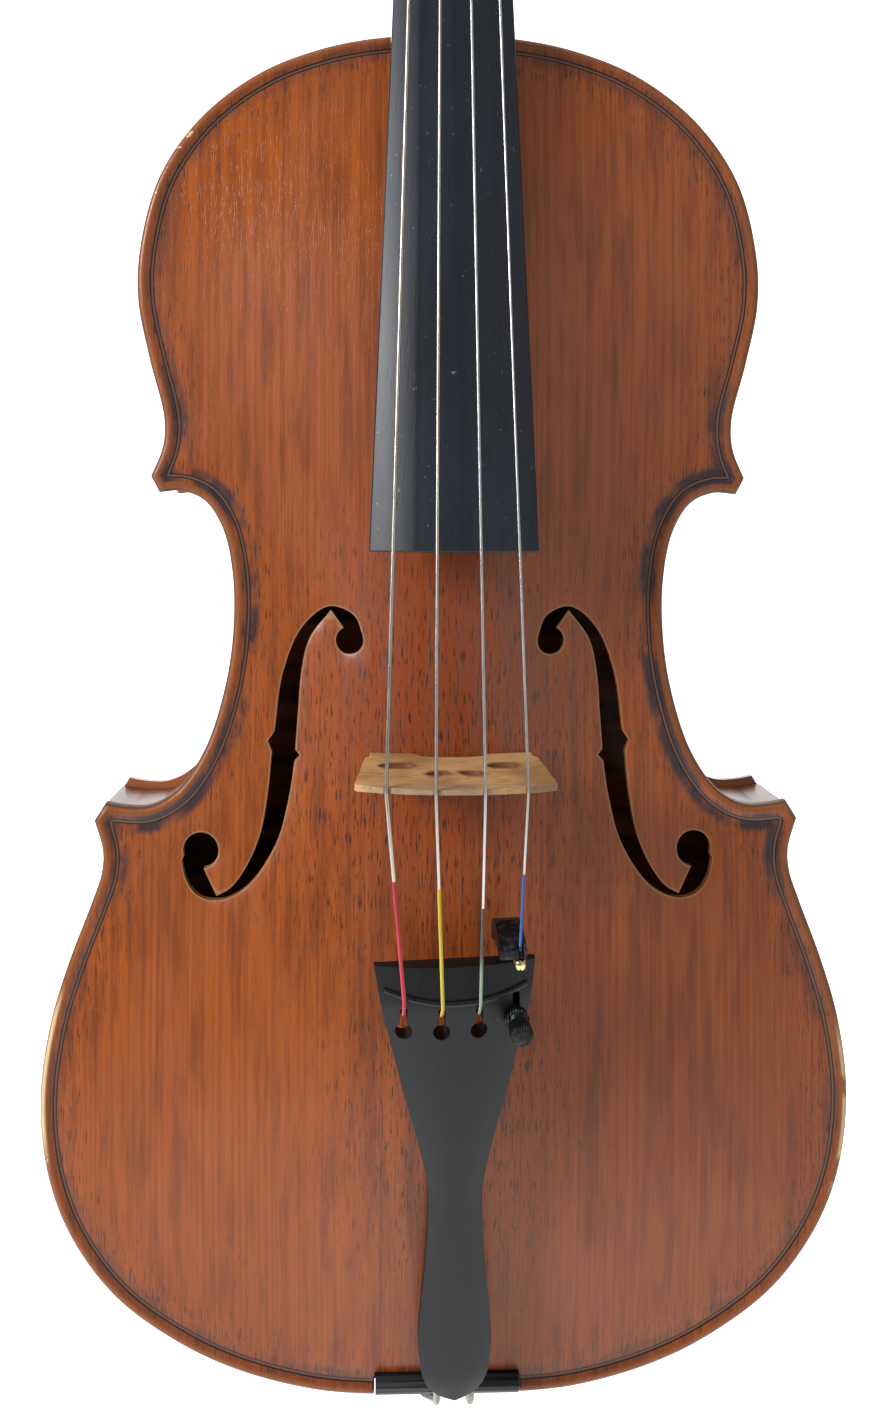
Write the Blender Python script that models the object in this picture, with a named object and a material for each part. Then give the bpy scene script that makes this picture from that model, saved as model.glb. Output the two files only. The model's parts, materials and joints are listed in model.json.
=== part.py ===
# A viola, built up as a maker builds it: a box of plates and ribs, a neck with its pegbox and
# scroll, and the fittings and strings that stand on it.
# X points to the treble side, Z up to the scroll, and Y back, so the belly faces -Y.
# Sizes are in millimetres, and millimetre() turns them into metres as each mesh is made.
# Every height z is measured from the bottom edge of the body, and every depth y from the plane
# where the belly is glued to the ribs. The instrument hangs from the throat of its scroll, and
# the parent empty carries it there, so that the hanger is the origin.
import math

import bmesh
import bpy
import numpy as np
from mathutils import geometry

# Body
BODY_LENGTH = 401.0
RIB_DEPTH = 38.0
RIB_THICK = 1.2
OVERHANG = 2.7
EDGE_THICK = 4.2
PLATE_THICK = 3.2
BELLY_RISE = 14.3
BACK_RISE = 12.8
LONG_ARCH_POWER = 3.0
PURFLING_IN = 3.7
PURFLING_WIDE = 1.3
PURFLING_DEEP = 1.6
LINING_TALL = 7.5
LINING_THICK = 2.0
BLOCK_LONG = 22.0
BAR_ENDS = (62.0, 322.0)
BAR_SIDES = (-19.5, -14.0)
POST_RADIUS = 3.25
GLUE_GAP = 0.3
# Half width of the blunt tip at every corner
CORNER_HALF = 2.65

# Where the neck stands, the back plate's button, and the saddle let into the belly
NECK_SEAT_HALF = 17.8
NECK_SEAT_Z = BODY_LENGTH - OVERHANG
BACK_BUTTON_Z = 403.5
BACK_BUTTON_RADIUS = 11.0
SADDLE_HALF = 21.3
SADDLE_TOP = 7.2

# Neck, pegbox and scroll
NECK_LENGTH = 144.0
NECK_DEPTH = 20.0
NUT_LONG = 5.0
NUT_FOOT = BODY_LENGTH + NECK_LENGTH
PEGBOX_FOOT = 550.3
SCROLL_EYE = (22.0, 638.0)
SCROLL_RADIUS = 22.0
SCROLL_EYE_RADIUS = 3.6
SCROLL_TURNS = 2.5
SCROLL_START = math.radians(-15)
SCROLL_EYE_HALF = 20.5
HANGER = (0.0, 21.0, 622.0)
# Pegbox walls: height, front, back, half width
PEGBOX = (
    (PEGBOX_FOOT, 2.2, 23.0, 13.4), (556, 2.6, 26.5, 13.4), (565, 3.8, 28.6, 13.0),
    (585, 6.8, 31.8, 12.0), (605, 10.2, 35.4, 10.6), (618, 13.4, 39.0, 9.4), (626, 19.5, 41.6, 8.8),
    (631, 27.0, 42.6, 8.5), (637, 33.0, 42.8, 7.0),
)
# Cavity: height, floor, half width
CAVITY = (
    (551.6, 9.0, 8.6), (556.0, 19.5, 8.5), (570, 23.5, 8.1), (590, 27.0, 7.4), (608, 30.0, 6.5),
    (614.5, 28.0, 6.0), (617.0, 20.0, 5.8),
)

# Fingerboard
BOARD_END = 249.4
BOARD_END_HALF = 23.5
BOARD_NUT_HALF = 11.9
BOARD_CAMBER = 42.0
BOARD_EDGE = 5.0
BOARD_TOP_END = -41.1
BOARD_TOP_NUT = -0.9

# Bridge
BRIDGE_FRONT = 191.4
BRIDGE_BACK = 186.7
BRIDGE_TOP_THICK = 1.3
BRIDGE_FOOT_HALF = 23.2
BRIDGE_TOP_HALF = 26.9
BRIDGE_CROWN = -56.1
BRIDGE_CURVE = 63.0
# Its cut-outs: x, height over the feet, half width, half height, lean
BRIDGE_HOLES = (
    (-15.6, 13.0, 4.6, 2.3, 0.0), (13.5, 13.0, 3.6, 2.3, 0.0),
    (-4.6, 21.0, 2.9, 1.7, 0.3), (4.5, 21.0, 2.9, 1.7, -0.3),
)

# Tailpiece
TAIL_TIP = (1.6, -12.0, 6.2)
TAIL_SLOPE = math.radians(10.3)
TAIL_ROLL = math.radians(4.0)
TAIL_SWING = math.radians(-0.6)
TAIL_LONG = 134.6
# Half of its outline, as (half width, distance from the tip)
TAIL_OUTLINE = (
    (0, 0), (5.0, 1.5), (8.3, 5.5), (9.8, 11.0), (10.4, 19.0), (9.6, 32.0), (8.3, 46.0), (7.6, 60.0),
    (7.7, 68.0), (10.4, 82.0), (14.6, 98.4), (17.2, 109.9), (20.3, 123.6), (22.1, TAIL_LONG),
)
# Distance from the tip, height of the middle over the underside, and how far the sides drop
TAIL_CROSS = (
    (0, 4.0, 1.0), (8, 5.6, 2.0), (60, 6.6, 2.4), (118, 7.8, 3.2), (125.5, 8.2, 3.6), (TAIL_LONG, 5.6, 3.2),
)
# The fret crosses it here, and bends toward the bridge at its ends
TAIL_FRET = 125.4
FRET_BEND = 3.2
FRET_HALF = 19.5
FRET_HIGH = 0.9
STRING_OVER_FRET = 0.95
KEYHOLE_U = 117.0
KEYHOLE_RADIUS = 2.3
BALL_RADIUS = 1.7

# Fine tuner: its screw, the lever's axis and the hook that holds the A string
TUNER_X = 16.3
TUNER_U = 119.7
LEVER_PIVOT = (132.2, -4.2)
LEVER_HALF = 1.4
HOOK_X = 16.8
HOOK_U = 138.3
HOOK_V = 9.0
# The A string stops this far from its ball, which moves with the hook
LEVER_PLAY = 2.0

# Strings, from the bass side: name, radius, and place across the nut, bridge and tailpiece
STRINGS = (
    ("c", 0.58, -9.2, -18.5, -14.4),
    ("g", 0.50, -3.0, -5.6, -4.2),
    ("d", 0.45, 3.1, 7.3, 6.0),
    ("a", 0.38, 9.2, 18.7, 16.8),
)
# Pegs: string, side of the thumb piece, depth and height of the axis, turn of the thumb piece
PEGS = (
    ("a", 1, 12.6, 562.5, 25),
    ("c", -1, 14.8, 577.0, -40),
    ("d", 1, 18.0, 593.5, 65),
    ("g", -1, 20.6, 608.0, 10),
)
PEG_RADIUS = 4.1
PEG_TAPER = 1 / 30
# The peg's head past its collar's inner face: distance, half depth, and half height where that differs
PEG_HEAD = (
    (0, 5.4), (1.6, 5.6), (2.4, 3.9), (5.5, 3.3), (9, 3.9, 6.8), (13, 3.3, 11.4), (18.5, 2.8, 12.6),
    (23.5, 2.4, 10.4), (26.3, 1.6, 5.6), (27, 0.8, 2.4),
)
WINDING_TURNS = 2
WINDING_START = 1.2
POINTS_PER_TURN = 24

# End button and tail gut
BUTTON_Y = RIB_DEPTH / 2
BUTTON_PROFILE = (
    (16.0, 3.2), (2.3, 3.6), (2.3, 7.0), (0.8, 7.4), (-0.8, 5.2), (-3.6, 5.0), (-5.0, 6.8), (-7.0, 7.8),
    (-9.6, 7.0), (-10.6, 4.6),
)
GUT_RADIUS = 1.15
GUT_X = 1.8
GUT_HALF = 4.9

# Half of the body's outline, as (half width, height), from the neck down to the end button
UPPER_BOUT = (
    (0, 401.0), (20.7, 400.2), (38.4, 396.6), (56.1, 389.4), (73.2, 376.3), (85.5, 358.6),
    (91.2, 337.0), (91.6, 322.0), (88.3, 305.3), (83.9, 287.6), (84.3, 279.2), (87.7, 270.6),
)
MIDDLE_BOUT = (
    (85.2, 265.9), (78.8, 266.3), (71.8, 263.3), (66.6, 255.1), (63.9, 243.0), (63.4, 228.0),
    (65.6, 210.0), (71.9, 190.0), (79.9, 178.4), (87.6, 174.0), (95.3, 173.9), (100.5, 174.9),
)
LOWER_BOUT = (
    (103.8, 169.6), (101.3, 160.5), (101.7, 154.0), (104.6, 145.3), (111.2, 127.8),
    (116.4, 110.1), (119.2, 88.0), (116.9, 65.7), (110.2, 47.9), (97.2, 30.2), (79.0, 16.6),
    (61.1, 8.0), (38.5, 1.9), (20.0, 0.2), (0, 0),
)

# The treble sound hole: two eyes, and the edges that run between them
UPPER_EYE = ((29.2, 223.1), 4.0, 64.7, -201.5)
LOWER_EYE = ((72.5, 161.2), 5.2, -99.8, -388.0)
HOLE_OUTER_TOP = (
    (25.4, 224.6), (27.8, 230.3), (35.1, 232.9), (43.1, 226.7), (48.8, 213.1), (51.2, 196.0),
)
HOLE_OUTER_LOW = (
    (51.9, 190.2), (53.1, 177.1), (55.2, 165.9), (59.3, 156.5), (63.7, 150.7), (67.7, 148.4),
)
HOLE_INNER_LOW = (
    (78.1, 158.2), (76.8, 152.8), (73.5, 148.5), (67.6, 147.1), (59.2, 151.0), (50.5, 163.6),
    (46.7, 177.4), (45.2, 187.6),
)
HOLE_INNER_TOP = ((45.0, 191.0), (44.2, 202.5), (43.3, 213.9), (41.0, 223.3), (34.7, 231.8))
OUTER_NICK = (53.2, 193.1)
INNER_NICK = (43.6, 189.3)

# Finishes: base colour, roughness and metallic
VARNISH = ((0.36, 0.12, 0.04), 0.3, 0.0)
SPRUCE = ((0.66, 0.46, 0.27), 0.6, 0.0)
MAPLE = ((0.40, 0.15, 0.06), 0.35, 0.0)
PALE_MAPLE = ((0.55, 0.37, 0.20), 0.55, 0.0)
EBONY = ((0.02, 0.022, 0.028), 0.35, 0.0)
STEEL = ((0.62, 0.62, 0.60), 0.25, 1.0)
BRASS = ((0.70, 0.50, 0.22), 0.3, 1.0)
BLACK_METAL = ((0.03, 0.03, 0.035), 0.4, 1.0)
GUT = ((0.30, 0.30, 0.31), 0.5, 0.0)


def millimetre(values):
    return np.asarray(values, float) / 1000


for old in list(bpy.data.objects):
    bpy.data.objects.remove(old)

instrument = bpy.data.objects.new("instrument", None)
bpy.context.collection.objects.link(instrument)
instrument.location = -millimetre(HANGER)


# Objects and materials

def finish_for(name, finish):
    colour, roughness, metallic = finish
    material = bpy.data.materials.new(name)
    material.use_nodes = True
    shader = material.node_tree.nodes["Principled BSDF"]
    shader.inputs["Base Color"].default_value = (*colour, 1)
    shader.inputs["Roughness"].default_value = roughness
    shader.inputs["Metallic"].default_value = metallic
    return material


# Links an object under the instrument, at a place given in millimetres
def add_object(name, data, finish, at=(0, 0, 0)):
    piece = bpy.data.objects.new(name, data)
    bpy.context.collection.objects.link(piece)
    piece.parent = instrument
    piece.location = millimetre(at)
    data.materials.append(finish_for(name, finish))
    return piece


def hide_guide(guide):
    guide.hide_render = True
    guide.display_type = "WIRE"


# One closed mesh from corner points and faces, its touching corners joined and its faces out
def solid(name, corners, faces, finish, at=(0, 0, 0), smooth_angle=35):
    mesh = bpy.data.meshes.new(name)
    mesh.from_pydata(millimetre(corners).tolist(), [], faces)
    shape = bmesh.new()
    shape.from_mesh(mesh)
    bmesh.ops.remove_doubles(shape, verts=shape.verts, dist=2e-6)
    bmesh.ops.dissolve_degenerate(shape, edges=shape.edges, dist=1e-6)
    bmesh.ops.recalc_face_normals(shape, faces=shape.faces)
    shape.to_mesh(mesh)
    shape.free()
    mesh.shade_smooth()
    mesh.set_sharp_from_angle(angle=math.radians(smooth_angle))
    return add_object(name, mesh, finish, at)


# A skin carried through rings of the same number of points, closed by its first and last ring
def loft(name, rings, finish, at=(0, 0, 0)):
    rings = np.asarray(rings, float)
    count, around = rings.shape[:2]
    faces = []
    for ring in range(count - 1):
        for point in range(around):
            after = (point + 1) % around
            low, high = ring * around, (ring + 1) * around
            faces.append((low + point, low + after, high + after, high + point))
    faces.append(tuple(range(around)))
    faces.append(tuple(range((count - 1) * around, count * around)))
    return solid(name, rings.reshape(-1, 3), faces, finish, at)


# A round cord along a list of points
def cord(name, points, radius, finish, at=(0, 0, 0), fineness=1):
    curve = bpy.data.curves.new(name, "CURVE")
    curve.dimensions = "3D"
    curve.bevel_depth = float(millimetre(radius))
    curve.bevel_resolution = fineness
    curve.use_fill_caps = True
    spline = curve.splines.new("POLY")
    spline.points.add(len(points) - 1)
    for knot, point in zip(spline.points, points):
        knot.co = (*millimetre(point), 1)
    return add_object(name, curve, finish, at)


def cut_away(piece, cutter, operation="DIFFERENCE"):
    hide_guide(cutter)
    step = piece.modifiers.new(cutter.name, "BOOLEAN")
    step.operation = operation
    step.solver = "EXACT"
    step.object = cutter


# Curves in the plane

# A curve through its points, with a point about every step: each span is a cubic whose end
# slopes come from the neighbouring points, weighed by the square roots of the distances
def smooth(points, step, before=None, after=None):
    path = [np.array(point, float) for point in points]
    before = 2 * path[0] - path[1] if before is None else np.array(before, float)
    after = 2 * path[-1] - path[-2] if after is None else np.array(after, float)
    path = [before] + path + [after]
    result = []
    for index in range(1, len(path) - 2):
        p0, p1, p2, p3 = path[index - 1:index + 3]
        d0, d1, d2 = (math.sqrt(np.linalg.norm(v)) for v in (p1 - p0, p2 - p1, p3 - p2))
        leave = ((p1 - p0) / d0 - (p2 - p0) / (d0 + d1) + (p2 - p1) / d1) * d1
        arrive = ((p2 - p1) / d1 - (p3 - p1) / (d1 + d2) + (p3 - p2) / d2) * d1
        count = max(1, round(float(np.linalg.norm(p2 - p1)) / step))
        t = np.arange(count)[:, None] / count
        result.append((2 * t**3 - 3 * t**2 + 1) * p1 + (t**3 - 2 * t**2 + t) * leave
                      + (3 * t**2 - 2 * t**3) * p2 + (t**3 - t**2) * arrive)
    result.append(path[-2][None])
    return np.vstack(result)


def arc(centre, radius, start, end, count):
    angle = np.radians(np.linspace(start, end, count))
    return np.array(centre) + radius * np.column_stack((np.cos(angle), np.sin(angle)))


# The curve moved sideways, to its right hand, by a distance
def offset(path, distance):
    run = np.gradient(path, axis=0)
    side = np.column_stack((run[:, 1], -run[:, 0]))
    return path + side / np.linalg.norm(side, axis=1)[:, None] * distance


# Cuts two paths where the first one's end, run on a little, crosses the second one's start
def mitre(first, second, reach=2.0):
    ahead, back = first[-1] - first[-2], second[0] - second[1]
    first = np.vstack((first[:-1], first[-1] + ahead / np.linalg.norm(ahead) * reach))
    second = np.vstack((second[0] + back / np.linalg.norm(back) * reach, second[1:]))
    for i in range(len(first) - 1, 0, -1):
        for j in range(len(second) - 1):
            p, q = first[i - 1], second[j]
            r, s = first[i] - p, second[j + 1] - q
            turn = r[0] * s[1] - r[1] * s[0]
            if abs(turn) < 1e-9:
                continue
            t = ((q - p)[0] * s[1] - (q - p)[1] * s[0]) / turn
            u = ((q - p)[0] * r[1] - (q - p)[1] * r[0]) / turn
            if 0 <= t <= 1 and 0 <= u <= 1:
                meet = (p + t * r)[None]
                return np.vstack((first[:i], meet)), np.vstack((meet, second[j + 1:]))
    return first, second


# The three bouts of the treble side, moved in from the plate's edge and mitred at the corners
def bouts(inset, step=8.0):
    upper = smooth(UPPER_BOUT, step, before=(-20.7, 400.2))
    middle = smooth(MIDDLE_BOUT, step)
    lower = smooth(LOWER_BOUT, step, after=(-20.0, 0.2))
    if inset == 0:
        return [upper, middle, lower]
    ends = [np.array((upper[-1], middle[0])), np.array((middle[-1], lower[0]))]
    upper, middle, lower = (offset(path, inset) for path in (upper, middle, lower))
    upper[0, 0] = lower[-1, 0] = 0
    ends = [offset(path, inset) for path in ends]
    blunt = inset < CORNER_HALF
    if blunt:
        upper, ends[0] = mitre(upper, ends[0])
        ends[0], middle = mitre(ends[0], middle)
        middle, ends[1] = mitre(middle, ends[1])
        ends[1], lower = mitre(ends[1], lower)
    else:
        upper, middle = mitre(upper, middle)
        middle, lower = mitre(middle, lower)
    return [upper, middle, lower]


# The treble half of the outline as one path, without doubled points
def half_outline(inset):
    path = np.vstack(bouts(inset))
    keep = np.r_[True, np.linalg.norm(np.diff(path, axis=0), axis=1) > 0.05]
    return path[keep]


# The path and its mirror image, as one closed loop
def closed(half):
    mirror = (half * (-1, 1))[::-1]
    if abs(half[-1, 0]) < 1e-6:
        mirror = mirror[1:]
    if abs(half[0, 0]) < 1e-6:
        mirror = mirror[:-1]
    return np.vstack((half, mirror))


def within(points, loop):
    x, z = points[:, 0:1], points[:, 1:2]
    start, end = loop, np.roll(loop, -1, axis=0)
    spans = (start[:, 1] > z) != (end[:, 1] > z)
    rise = end[:, 1] - start[:, 1]
    rise = np.where(rise == 0, 1e-12, rise)
    crossing = start[:, 0] + (z - start[:, 1]) / rise * (end[:, 0] - start[:, 0])
    return (spans & (x < crossing)).sum(axis=1) % 2 == 1


# How far a point lies inside a loop, rounded off in the middle: the harmonic mean of its
# distance to the loop in every direction, which grows as the true distance near the edge
def soft_depth(points, loop):
    to_start = loop[None] - points[:, None]
    to_end = np.roll(loop, -1, axis=0)[None] - points[:, None]
    near = np.maximum(np.linalg.norm(to_start, axis=2), 1e-6)
    far = np.maximum(np.linalg.norm(to_end, axis=2), 1e-6)
    cross = to_start[..., 0] * to_end[..., 1] - to_start[..., 1] * to_end[..., 0]
    dot = (to_start * to_end).sum(axis=2)
    half_angle = cross / (near * far + dot + 1e-9)
    return 2 / np.maximum(np.abs((half_angle * (1 / near + 1 / far)).sum(axis=1)), 1e-9)


GROOVE_OUT = half_outline(PURFLING_IN - GLUE_GAP)
GROOVE_IN = half_outline(PURFLING_IN + PURFLING_WIDE + GLUE_GAP)
ARCH_LOOP = closed(GROOVE_IN)
CENTRE_Z = np.linspace(8, BODY_LENGTH - 8, 90)
CENTRE_DEPTH = soft_depth(np.column_stack((np.zeros(90), CENTRE_Z)), ARCH_LOOP)


# Height of a plate's arch above its edge: a cosine across, from the purfling to the middle,
# under a long arch that is fuller than a cosine
def arch(points, height):
    inside = within(points, ARCH_LOOP)
    share = soft_depth(points, ARCH_LOOP) / np.interp(points[:, 1], CENTRE_Z, CENTRE_DEPTH)
    across = np.sqrt(1 - np.clip(share, 0, 1))
    along = np.clip(np.abs(2 * points[:, 1] / BODY_LENGTH - 1), 0, 1) ** LONG_ARCH_POWER
    rise = height * (1 + np.cos(math.pi * along)) / 2 * (1 + np.cos(math.pi * across)) / 2
    return np.where(inside, rise, 0)


def belly_front(points):
    return -EDGE_THICK - arch(points, BELLY_RISE)


def back_front(points):
    return RIB_DEPTH + EDGE_THICK + arch(points, BACK_RISE)


# Height of a plate's hollow above the glue plane, which stays flat over ribs and linings
def hollow(points, height):
    clear = np.clip((soft_depth(points, ARCH_LOOP) - 2) / 6, 0, 1)
    inside = within(points, ARCH_LOOP)
    rise = EDGE_THICK + arch(points, height) - PLATE_THICK
    return np.where(inside, np.maximum(rise, 0) * clear, 0)


def belly_inside(points):
    return -hollow(points, BELLY_RISE)


def back_inside(points):
    return RIB_DEPTH + hollow(points, BACK_RISE)


def level(depth):
    return lambda points: np.full(len(points), float(depth))


# Solids between two surfaces

# Gathers the walls and skins of a solid whose outline lies in a plane (a, b), with c the
# height over that plane
class Slab:
    def __init__(self):
        self.corners = []
        self.faces = []

    def add(self, corners, faces):
        start = sum(len(block) for block in self.corners)
        self.corners.append(np.asarray(corners))
        self.faces += [tuple(start + index for index in face) for face in faces]

    # A skin over the region inside the loop and outside the holes, of points a pitch apart,
    # which also passes through the marks
    def skin(self, loop, height, pitch, holes=(), marks=()):
        rims = [loop, *holes]
        low, high = loop.min(axis=0), loop.max(axis=0)
        rows = np.arange(low[1] + pitch / 2, high[1], pitch * 0.866)
        columns = np.arange(low[0] + pitch / 2, high[0], pitch)
        a, b = np.meshgrid(columns, rows)
        a = a + (np.arange(len(rows)) % 2)[:, None] * pitch / 2
        inner = np.column_stack((a.ravel(), b.ravel()))
        if len(inner):
            inner = inner[self.covers(inner, loop, holes)]
        for rim in [*rims, *marks]:
            if len(inner):
                away = np.linalg.norm(inner[:, None] - rim[None], axis=2).min(axis=1)
                inner = inner[away > 0.5 * pitch]
        points = np.vstack([*rims, *marks, inner.reshape(-1, 2)])
        edges = []
        start = 0
        for rim in rims:
            edges += [(start + i, start + (i + 1) % len(rim)) for i in range(len(rim))]
            start += len(rim)
        spots, _, faces, *_ = geometry.delaunay_2d_cdt(points.tolist(), edges, [], 0, 1e-5)
        spots = np.array([tuple(spot) for spot in spots])
        faces = np.array([face for face in faces if len(face) == 3])
        faces = faces[self.covers(spots[faces].mean(axis=1), loop, holes)]
        self.add(np.column_stack((spots, height(spots))), faces.tolist())

    @staticmethod
    def covers(points, loop, holes):
        keep = within(points, loop)
        for hole in holes:
            keep &= ~within(points, hole)
        return keep

    # A wall along a path, from one height to another
    def wall(self, path, low, high, ring=True):
        count = len(path)
        corners = np.vstack((np.column_stack((path, low(path))), np.column_stack((path, high(path)))))
        spans = range(count if ring else count - 1)
        faces = [(i, (i + 1) % count, count + (i + 1) % count, count + i) for i in spans]
        self.add(corners, faces)

    def build(self, name, place, finish, at=(0, 0, 0)):
        return solid(name, place(np.vstack(self.corners)), self.faces, finish, at)


# A slab with the same outline on both faces
def slab(name, loop, low, high, place, finish, pitch=20, holes=()):
    shape = Slab()
    for height in (low, high):
        shape.skin(loop, height, pitch, holes)
    for rim in (loop, *holes):
        shape.wall(rim, low, high)
    return shape.build(name, place, finish)


# Outline across and up the body, with the depth as height over it
def facing_front(corners):
    return corners[:, (0, 2, 1)]


# Outline across the body and in depth, with z as height over it
def facing_up(corners):
    return corners


def rectangle(low, high):
    return np.array([(low[0], low[1]), (high[0], low[1]), (high[0], high[1]), (low[0], high[1])], float)


# The plates


def sound_hole(step=4.5):
    def eye(eye_data):
        centre, radius, start, end = eye_data
        return arc(centre, radius, start, end, 11)[:-1]

    return np.vstack((
        eye(UPPER_EYE),
        smooth(HOLE_OUTER_TOP, step), [OUTER_NICK],
        smooth(HOLE_OUTER_LOW, step),
        eye(LOWER_EYE),
        smooth(HOLE_INNER_LOW, step), [INNER_NICK],
        smooth(HOLE_INNER_TOP, step),
    ))


# A half path that stops at the saddle's side
def stop_at_saddle(half):
    last = np.flatnonzero((half[:, 0] > SADDLE_HALF) | (half[:, 1] > 30))[-1]
    p, q = half[last], half[last + 1]
    cut = p + (q - p) * (SADDLE_HALF - p[0]) / (q[0] - p[0])
    return np.vstack((half[:last + 1], cut))


# The belly's edge, flush with the ribs where the neck stands
def belly_half_edge():
    half = half_outline(0)
    half = half[half[:, 0] > NECK_SEAT_HALF]
    first = np.array(((0, NECK_SEAT_Z), (NECK_SEAT_HALF, NECK_SEAT_Z), (NECK_SEAT_HALF, 400.4)))
    return stop_at_saddle(np.vstack((first, half)))


# Opens a half path's loop at the bottom, so that it starts on the bass side of the saddle
def round_the_top(half):
    return np.vstack(((half * (-1, 1))[::-1], half[1:]))


def make_top_plate():
    edge, outer, inner = belly_half_edge(), stop_at_saddle(GROOVE_OUT), stop_at_saddle(GROOVE_IN)
    hole = sound_hole()
    holes = (hole, hole * (-1, 1))
    edge_path, outer_path, inner_path = (round_the_top(half) for half in (edge, outer, inner))
    seat = np.array(((SADDLE_HALF, SADDLE_TOP), (-SADDLE_HALF, SADDLE_TOP)))
    rim = -EDGE_THICK
    floor = -EDGE_THICK + PURFLING_DEEP
    whole = np.vstack((edge_path, outer[-1], inner[-1], seat, inner[-1] * (-1, 1), outer[-1] * (-1, 1)))
    middle = np.vstack((inner_path, seat))
    shape = Slab()
    shape.skin(np.vstack((edge_path, outer_path[::-1])), level(rim), 60)
    shape.skin(np.vstack((outer_path, inner_path[::-1])), level(floor), 60)
    shape.skin(middle, belly_front, 15, holes)
    shape.skin(whole, belly_inside, 24, holes, (bar_outline(), post_outline()))
    shape.wall(edge_path, level(0), level(rim), ring=False)
    shape.wall(outer_path, level(floor), level(rim), ring=False)
    shape.wall(inner_path, level(floor), level(rim), ring=False)
    shape.wall(seat, level(0), belly_front, ring=False)
    for path in holes:
        shape.wall(path, belly_inside, belly_front)
    # the saddle seat's sides, stepped where they cross the purfling groove
    seat_front = belly_front(seat[:1])[0]
    steps = (
        (edge[-1, 1], 0), (outer[-1, 1], 0), (inner[-1, 1], 0), (SADDLE_TOP, 0),
        (SADDLE_TOP, seat_front), (inner[-1, 1], rim), (inner[-1, 1], floor),
        (outer[-1, 1], floor), (outer[-1, 1], rim), (edge[-1, 1], rim),
    )
    for side in (1, -1):
        shape.add([(side * SADDLE_HALF, z, c) for z, c in steps], [tuple(range(len(steps)))])
    shape.build("top_plate", facing_front, VARNISH)


# The back runs up into a round button behind the neck's heel
def back_edge():
    half = half_outline(0)
    button = arc((0, BACK_BUTTON_Z), BACK_BUTTON_RADIUS, 90, -20, 8)
    beyond = (half[:, 0] > BACK_BUTTON_RADIUS + 1) | (half[:, 1] < BODY_LENGTH / 2)
    return closed(np.vstack((button, half[beyond])))


def make_back_plate():
    edge, outer, inner = back_edge(), closed(GROOVE_OUT), closed(GROOVE_IN)
    rim = RIB_DEPTH + EDGE_THICK
    floor = rim - PURFLING_DEEP
    shape = Slab()
    shape.skin(edge, level(rim), 60, (outer,))
    shape.skin(outer, level(floor), 60, (inner,))
    shape.skin(inner, back_front, 17)
    shape.skin(edge, back_inside, 24, marks=(post_outline(),))
    shape.wall(edge, level(RIB_DEPTH), level(rim))
    shape.wall(outer, level(floor), level(rim))
    shape.wall(inner, level(floor), level(rim))
    shape.build("back_plate", facing_front, VARNISH)


# The purfling: a strip let into the groove, whole on the back and stopped at the saddle in front
def make_purflings():
    outer, inner = half_outline(PURFLING_IN), half_outline(PURFLING_IN + PURFLING_WIDE)
    below = level(RIB_DEPTH + EDGE_THICK - PURFLING_DEEP + GLUE_GAP)
    slab("back_purfling", closed(outer), below, level(RIB_DEPTH + EDGE_THICK), facing_front, EBONY,
         60, (closed(inner),))
    outer, inner = (round_the_top(stop_at_saddle(half)) for half in (outer, inner))
    for path in (outer, inner):
        path[[0, -1], 0] *= 1 + GLUE_GAP / SADDLE_HALF
    below = level(-EDGE_THICK + PURFLING_DEEP - GLUE_GAP)
    slab("top_purfling", np.vstack((outer, inner[::-1])), level(-EDGE_THICK), below, facing_front, EBONY, 60)


# Ribs, linings and blocks

# Part of a path between two lengths along it, the far one measured from its end
def trim(path, start, end):
    run = np.r_[0, np.cumsum(np.linalg.norm(np.diff(path, axis=0), axis=1))]
    marks = np.r_[start, run[(run > start) & (run < run[-1] - end)], run[-1] - end]
    return np.column_stack([np.interp(marks, run, path[:, axis]) for axis in (0, 1)])


# A strip that follows one bout, bent from the wood between two insets
def strip(bout, inset, thick, start, end):
    return trim(bouts(inset)[bout], start, end), trim(bouts(inset + thick)[bout], start, end)


def make_ribs():
    low, high = level(GLUE_GAP), level(RIB_DEPTH - GLUE_GAP)
    sides = (("treble", (1, 1)), ("bass", (-1, 1)))
    for bout, name, start in ((0, "upper_rib", GLUE_GAP / 2), (1, "middle_rib", 0.6)):
        outer, inner = strip(bout, OVERHANG, RIB_THICK, start, 0.6)
        loop = np.vstack((outer, inner[::-1]))
        for side, mirror in sides:
            slab(f"{name}_{side}", loop * mirror, low, high, facing_front, MAPLE, 60)
    outer, inner = strip(2, OVERHANG, RIB_THICK, 0.6, 0)
    loop = np.vstack((outer, (outer[:-1] * (-1, 1))[::-1], inner * (-1, 1), inner[-2::-1]))
    rib = slab("bottom_rib", loop, low, high, facing_front, MAPLE, 60)
    cut_away(rib, button_bore("rib_bore"))


def make_linings():
    inset = OVERHANG + RIB_THICK + GLUE_GAP
    spans = (("upper", 0, 31, 30), ("middle", 1, 24, 24), ("lower", 2, 30, 33))
    depths = (("top", GLUE_GAP, GLUE_GAP + LINING_TALL),
              ("back", RIB_DEPTH - GLUE_GAP - LINING_TALL, RIB_DEPTH - GLUE_GAP))
    for bout_name, bout, start, end in spans:
        outer, inner = strip(bout, inset, LINING_THICK, start, end)
        loop = np.vstack((outer, inner[::-1]))
        for plate, low, high in depths:
            for side, mirror in (("treble", (1, 1)), ("bass", (-1, 1))):
                slab(f"{plate}_lining_{bout_name}_{side}", loop * mirror, level(low), level(high),
                     facing_front, SPRUCE, 60)


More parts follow.
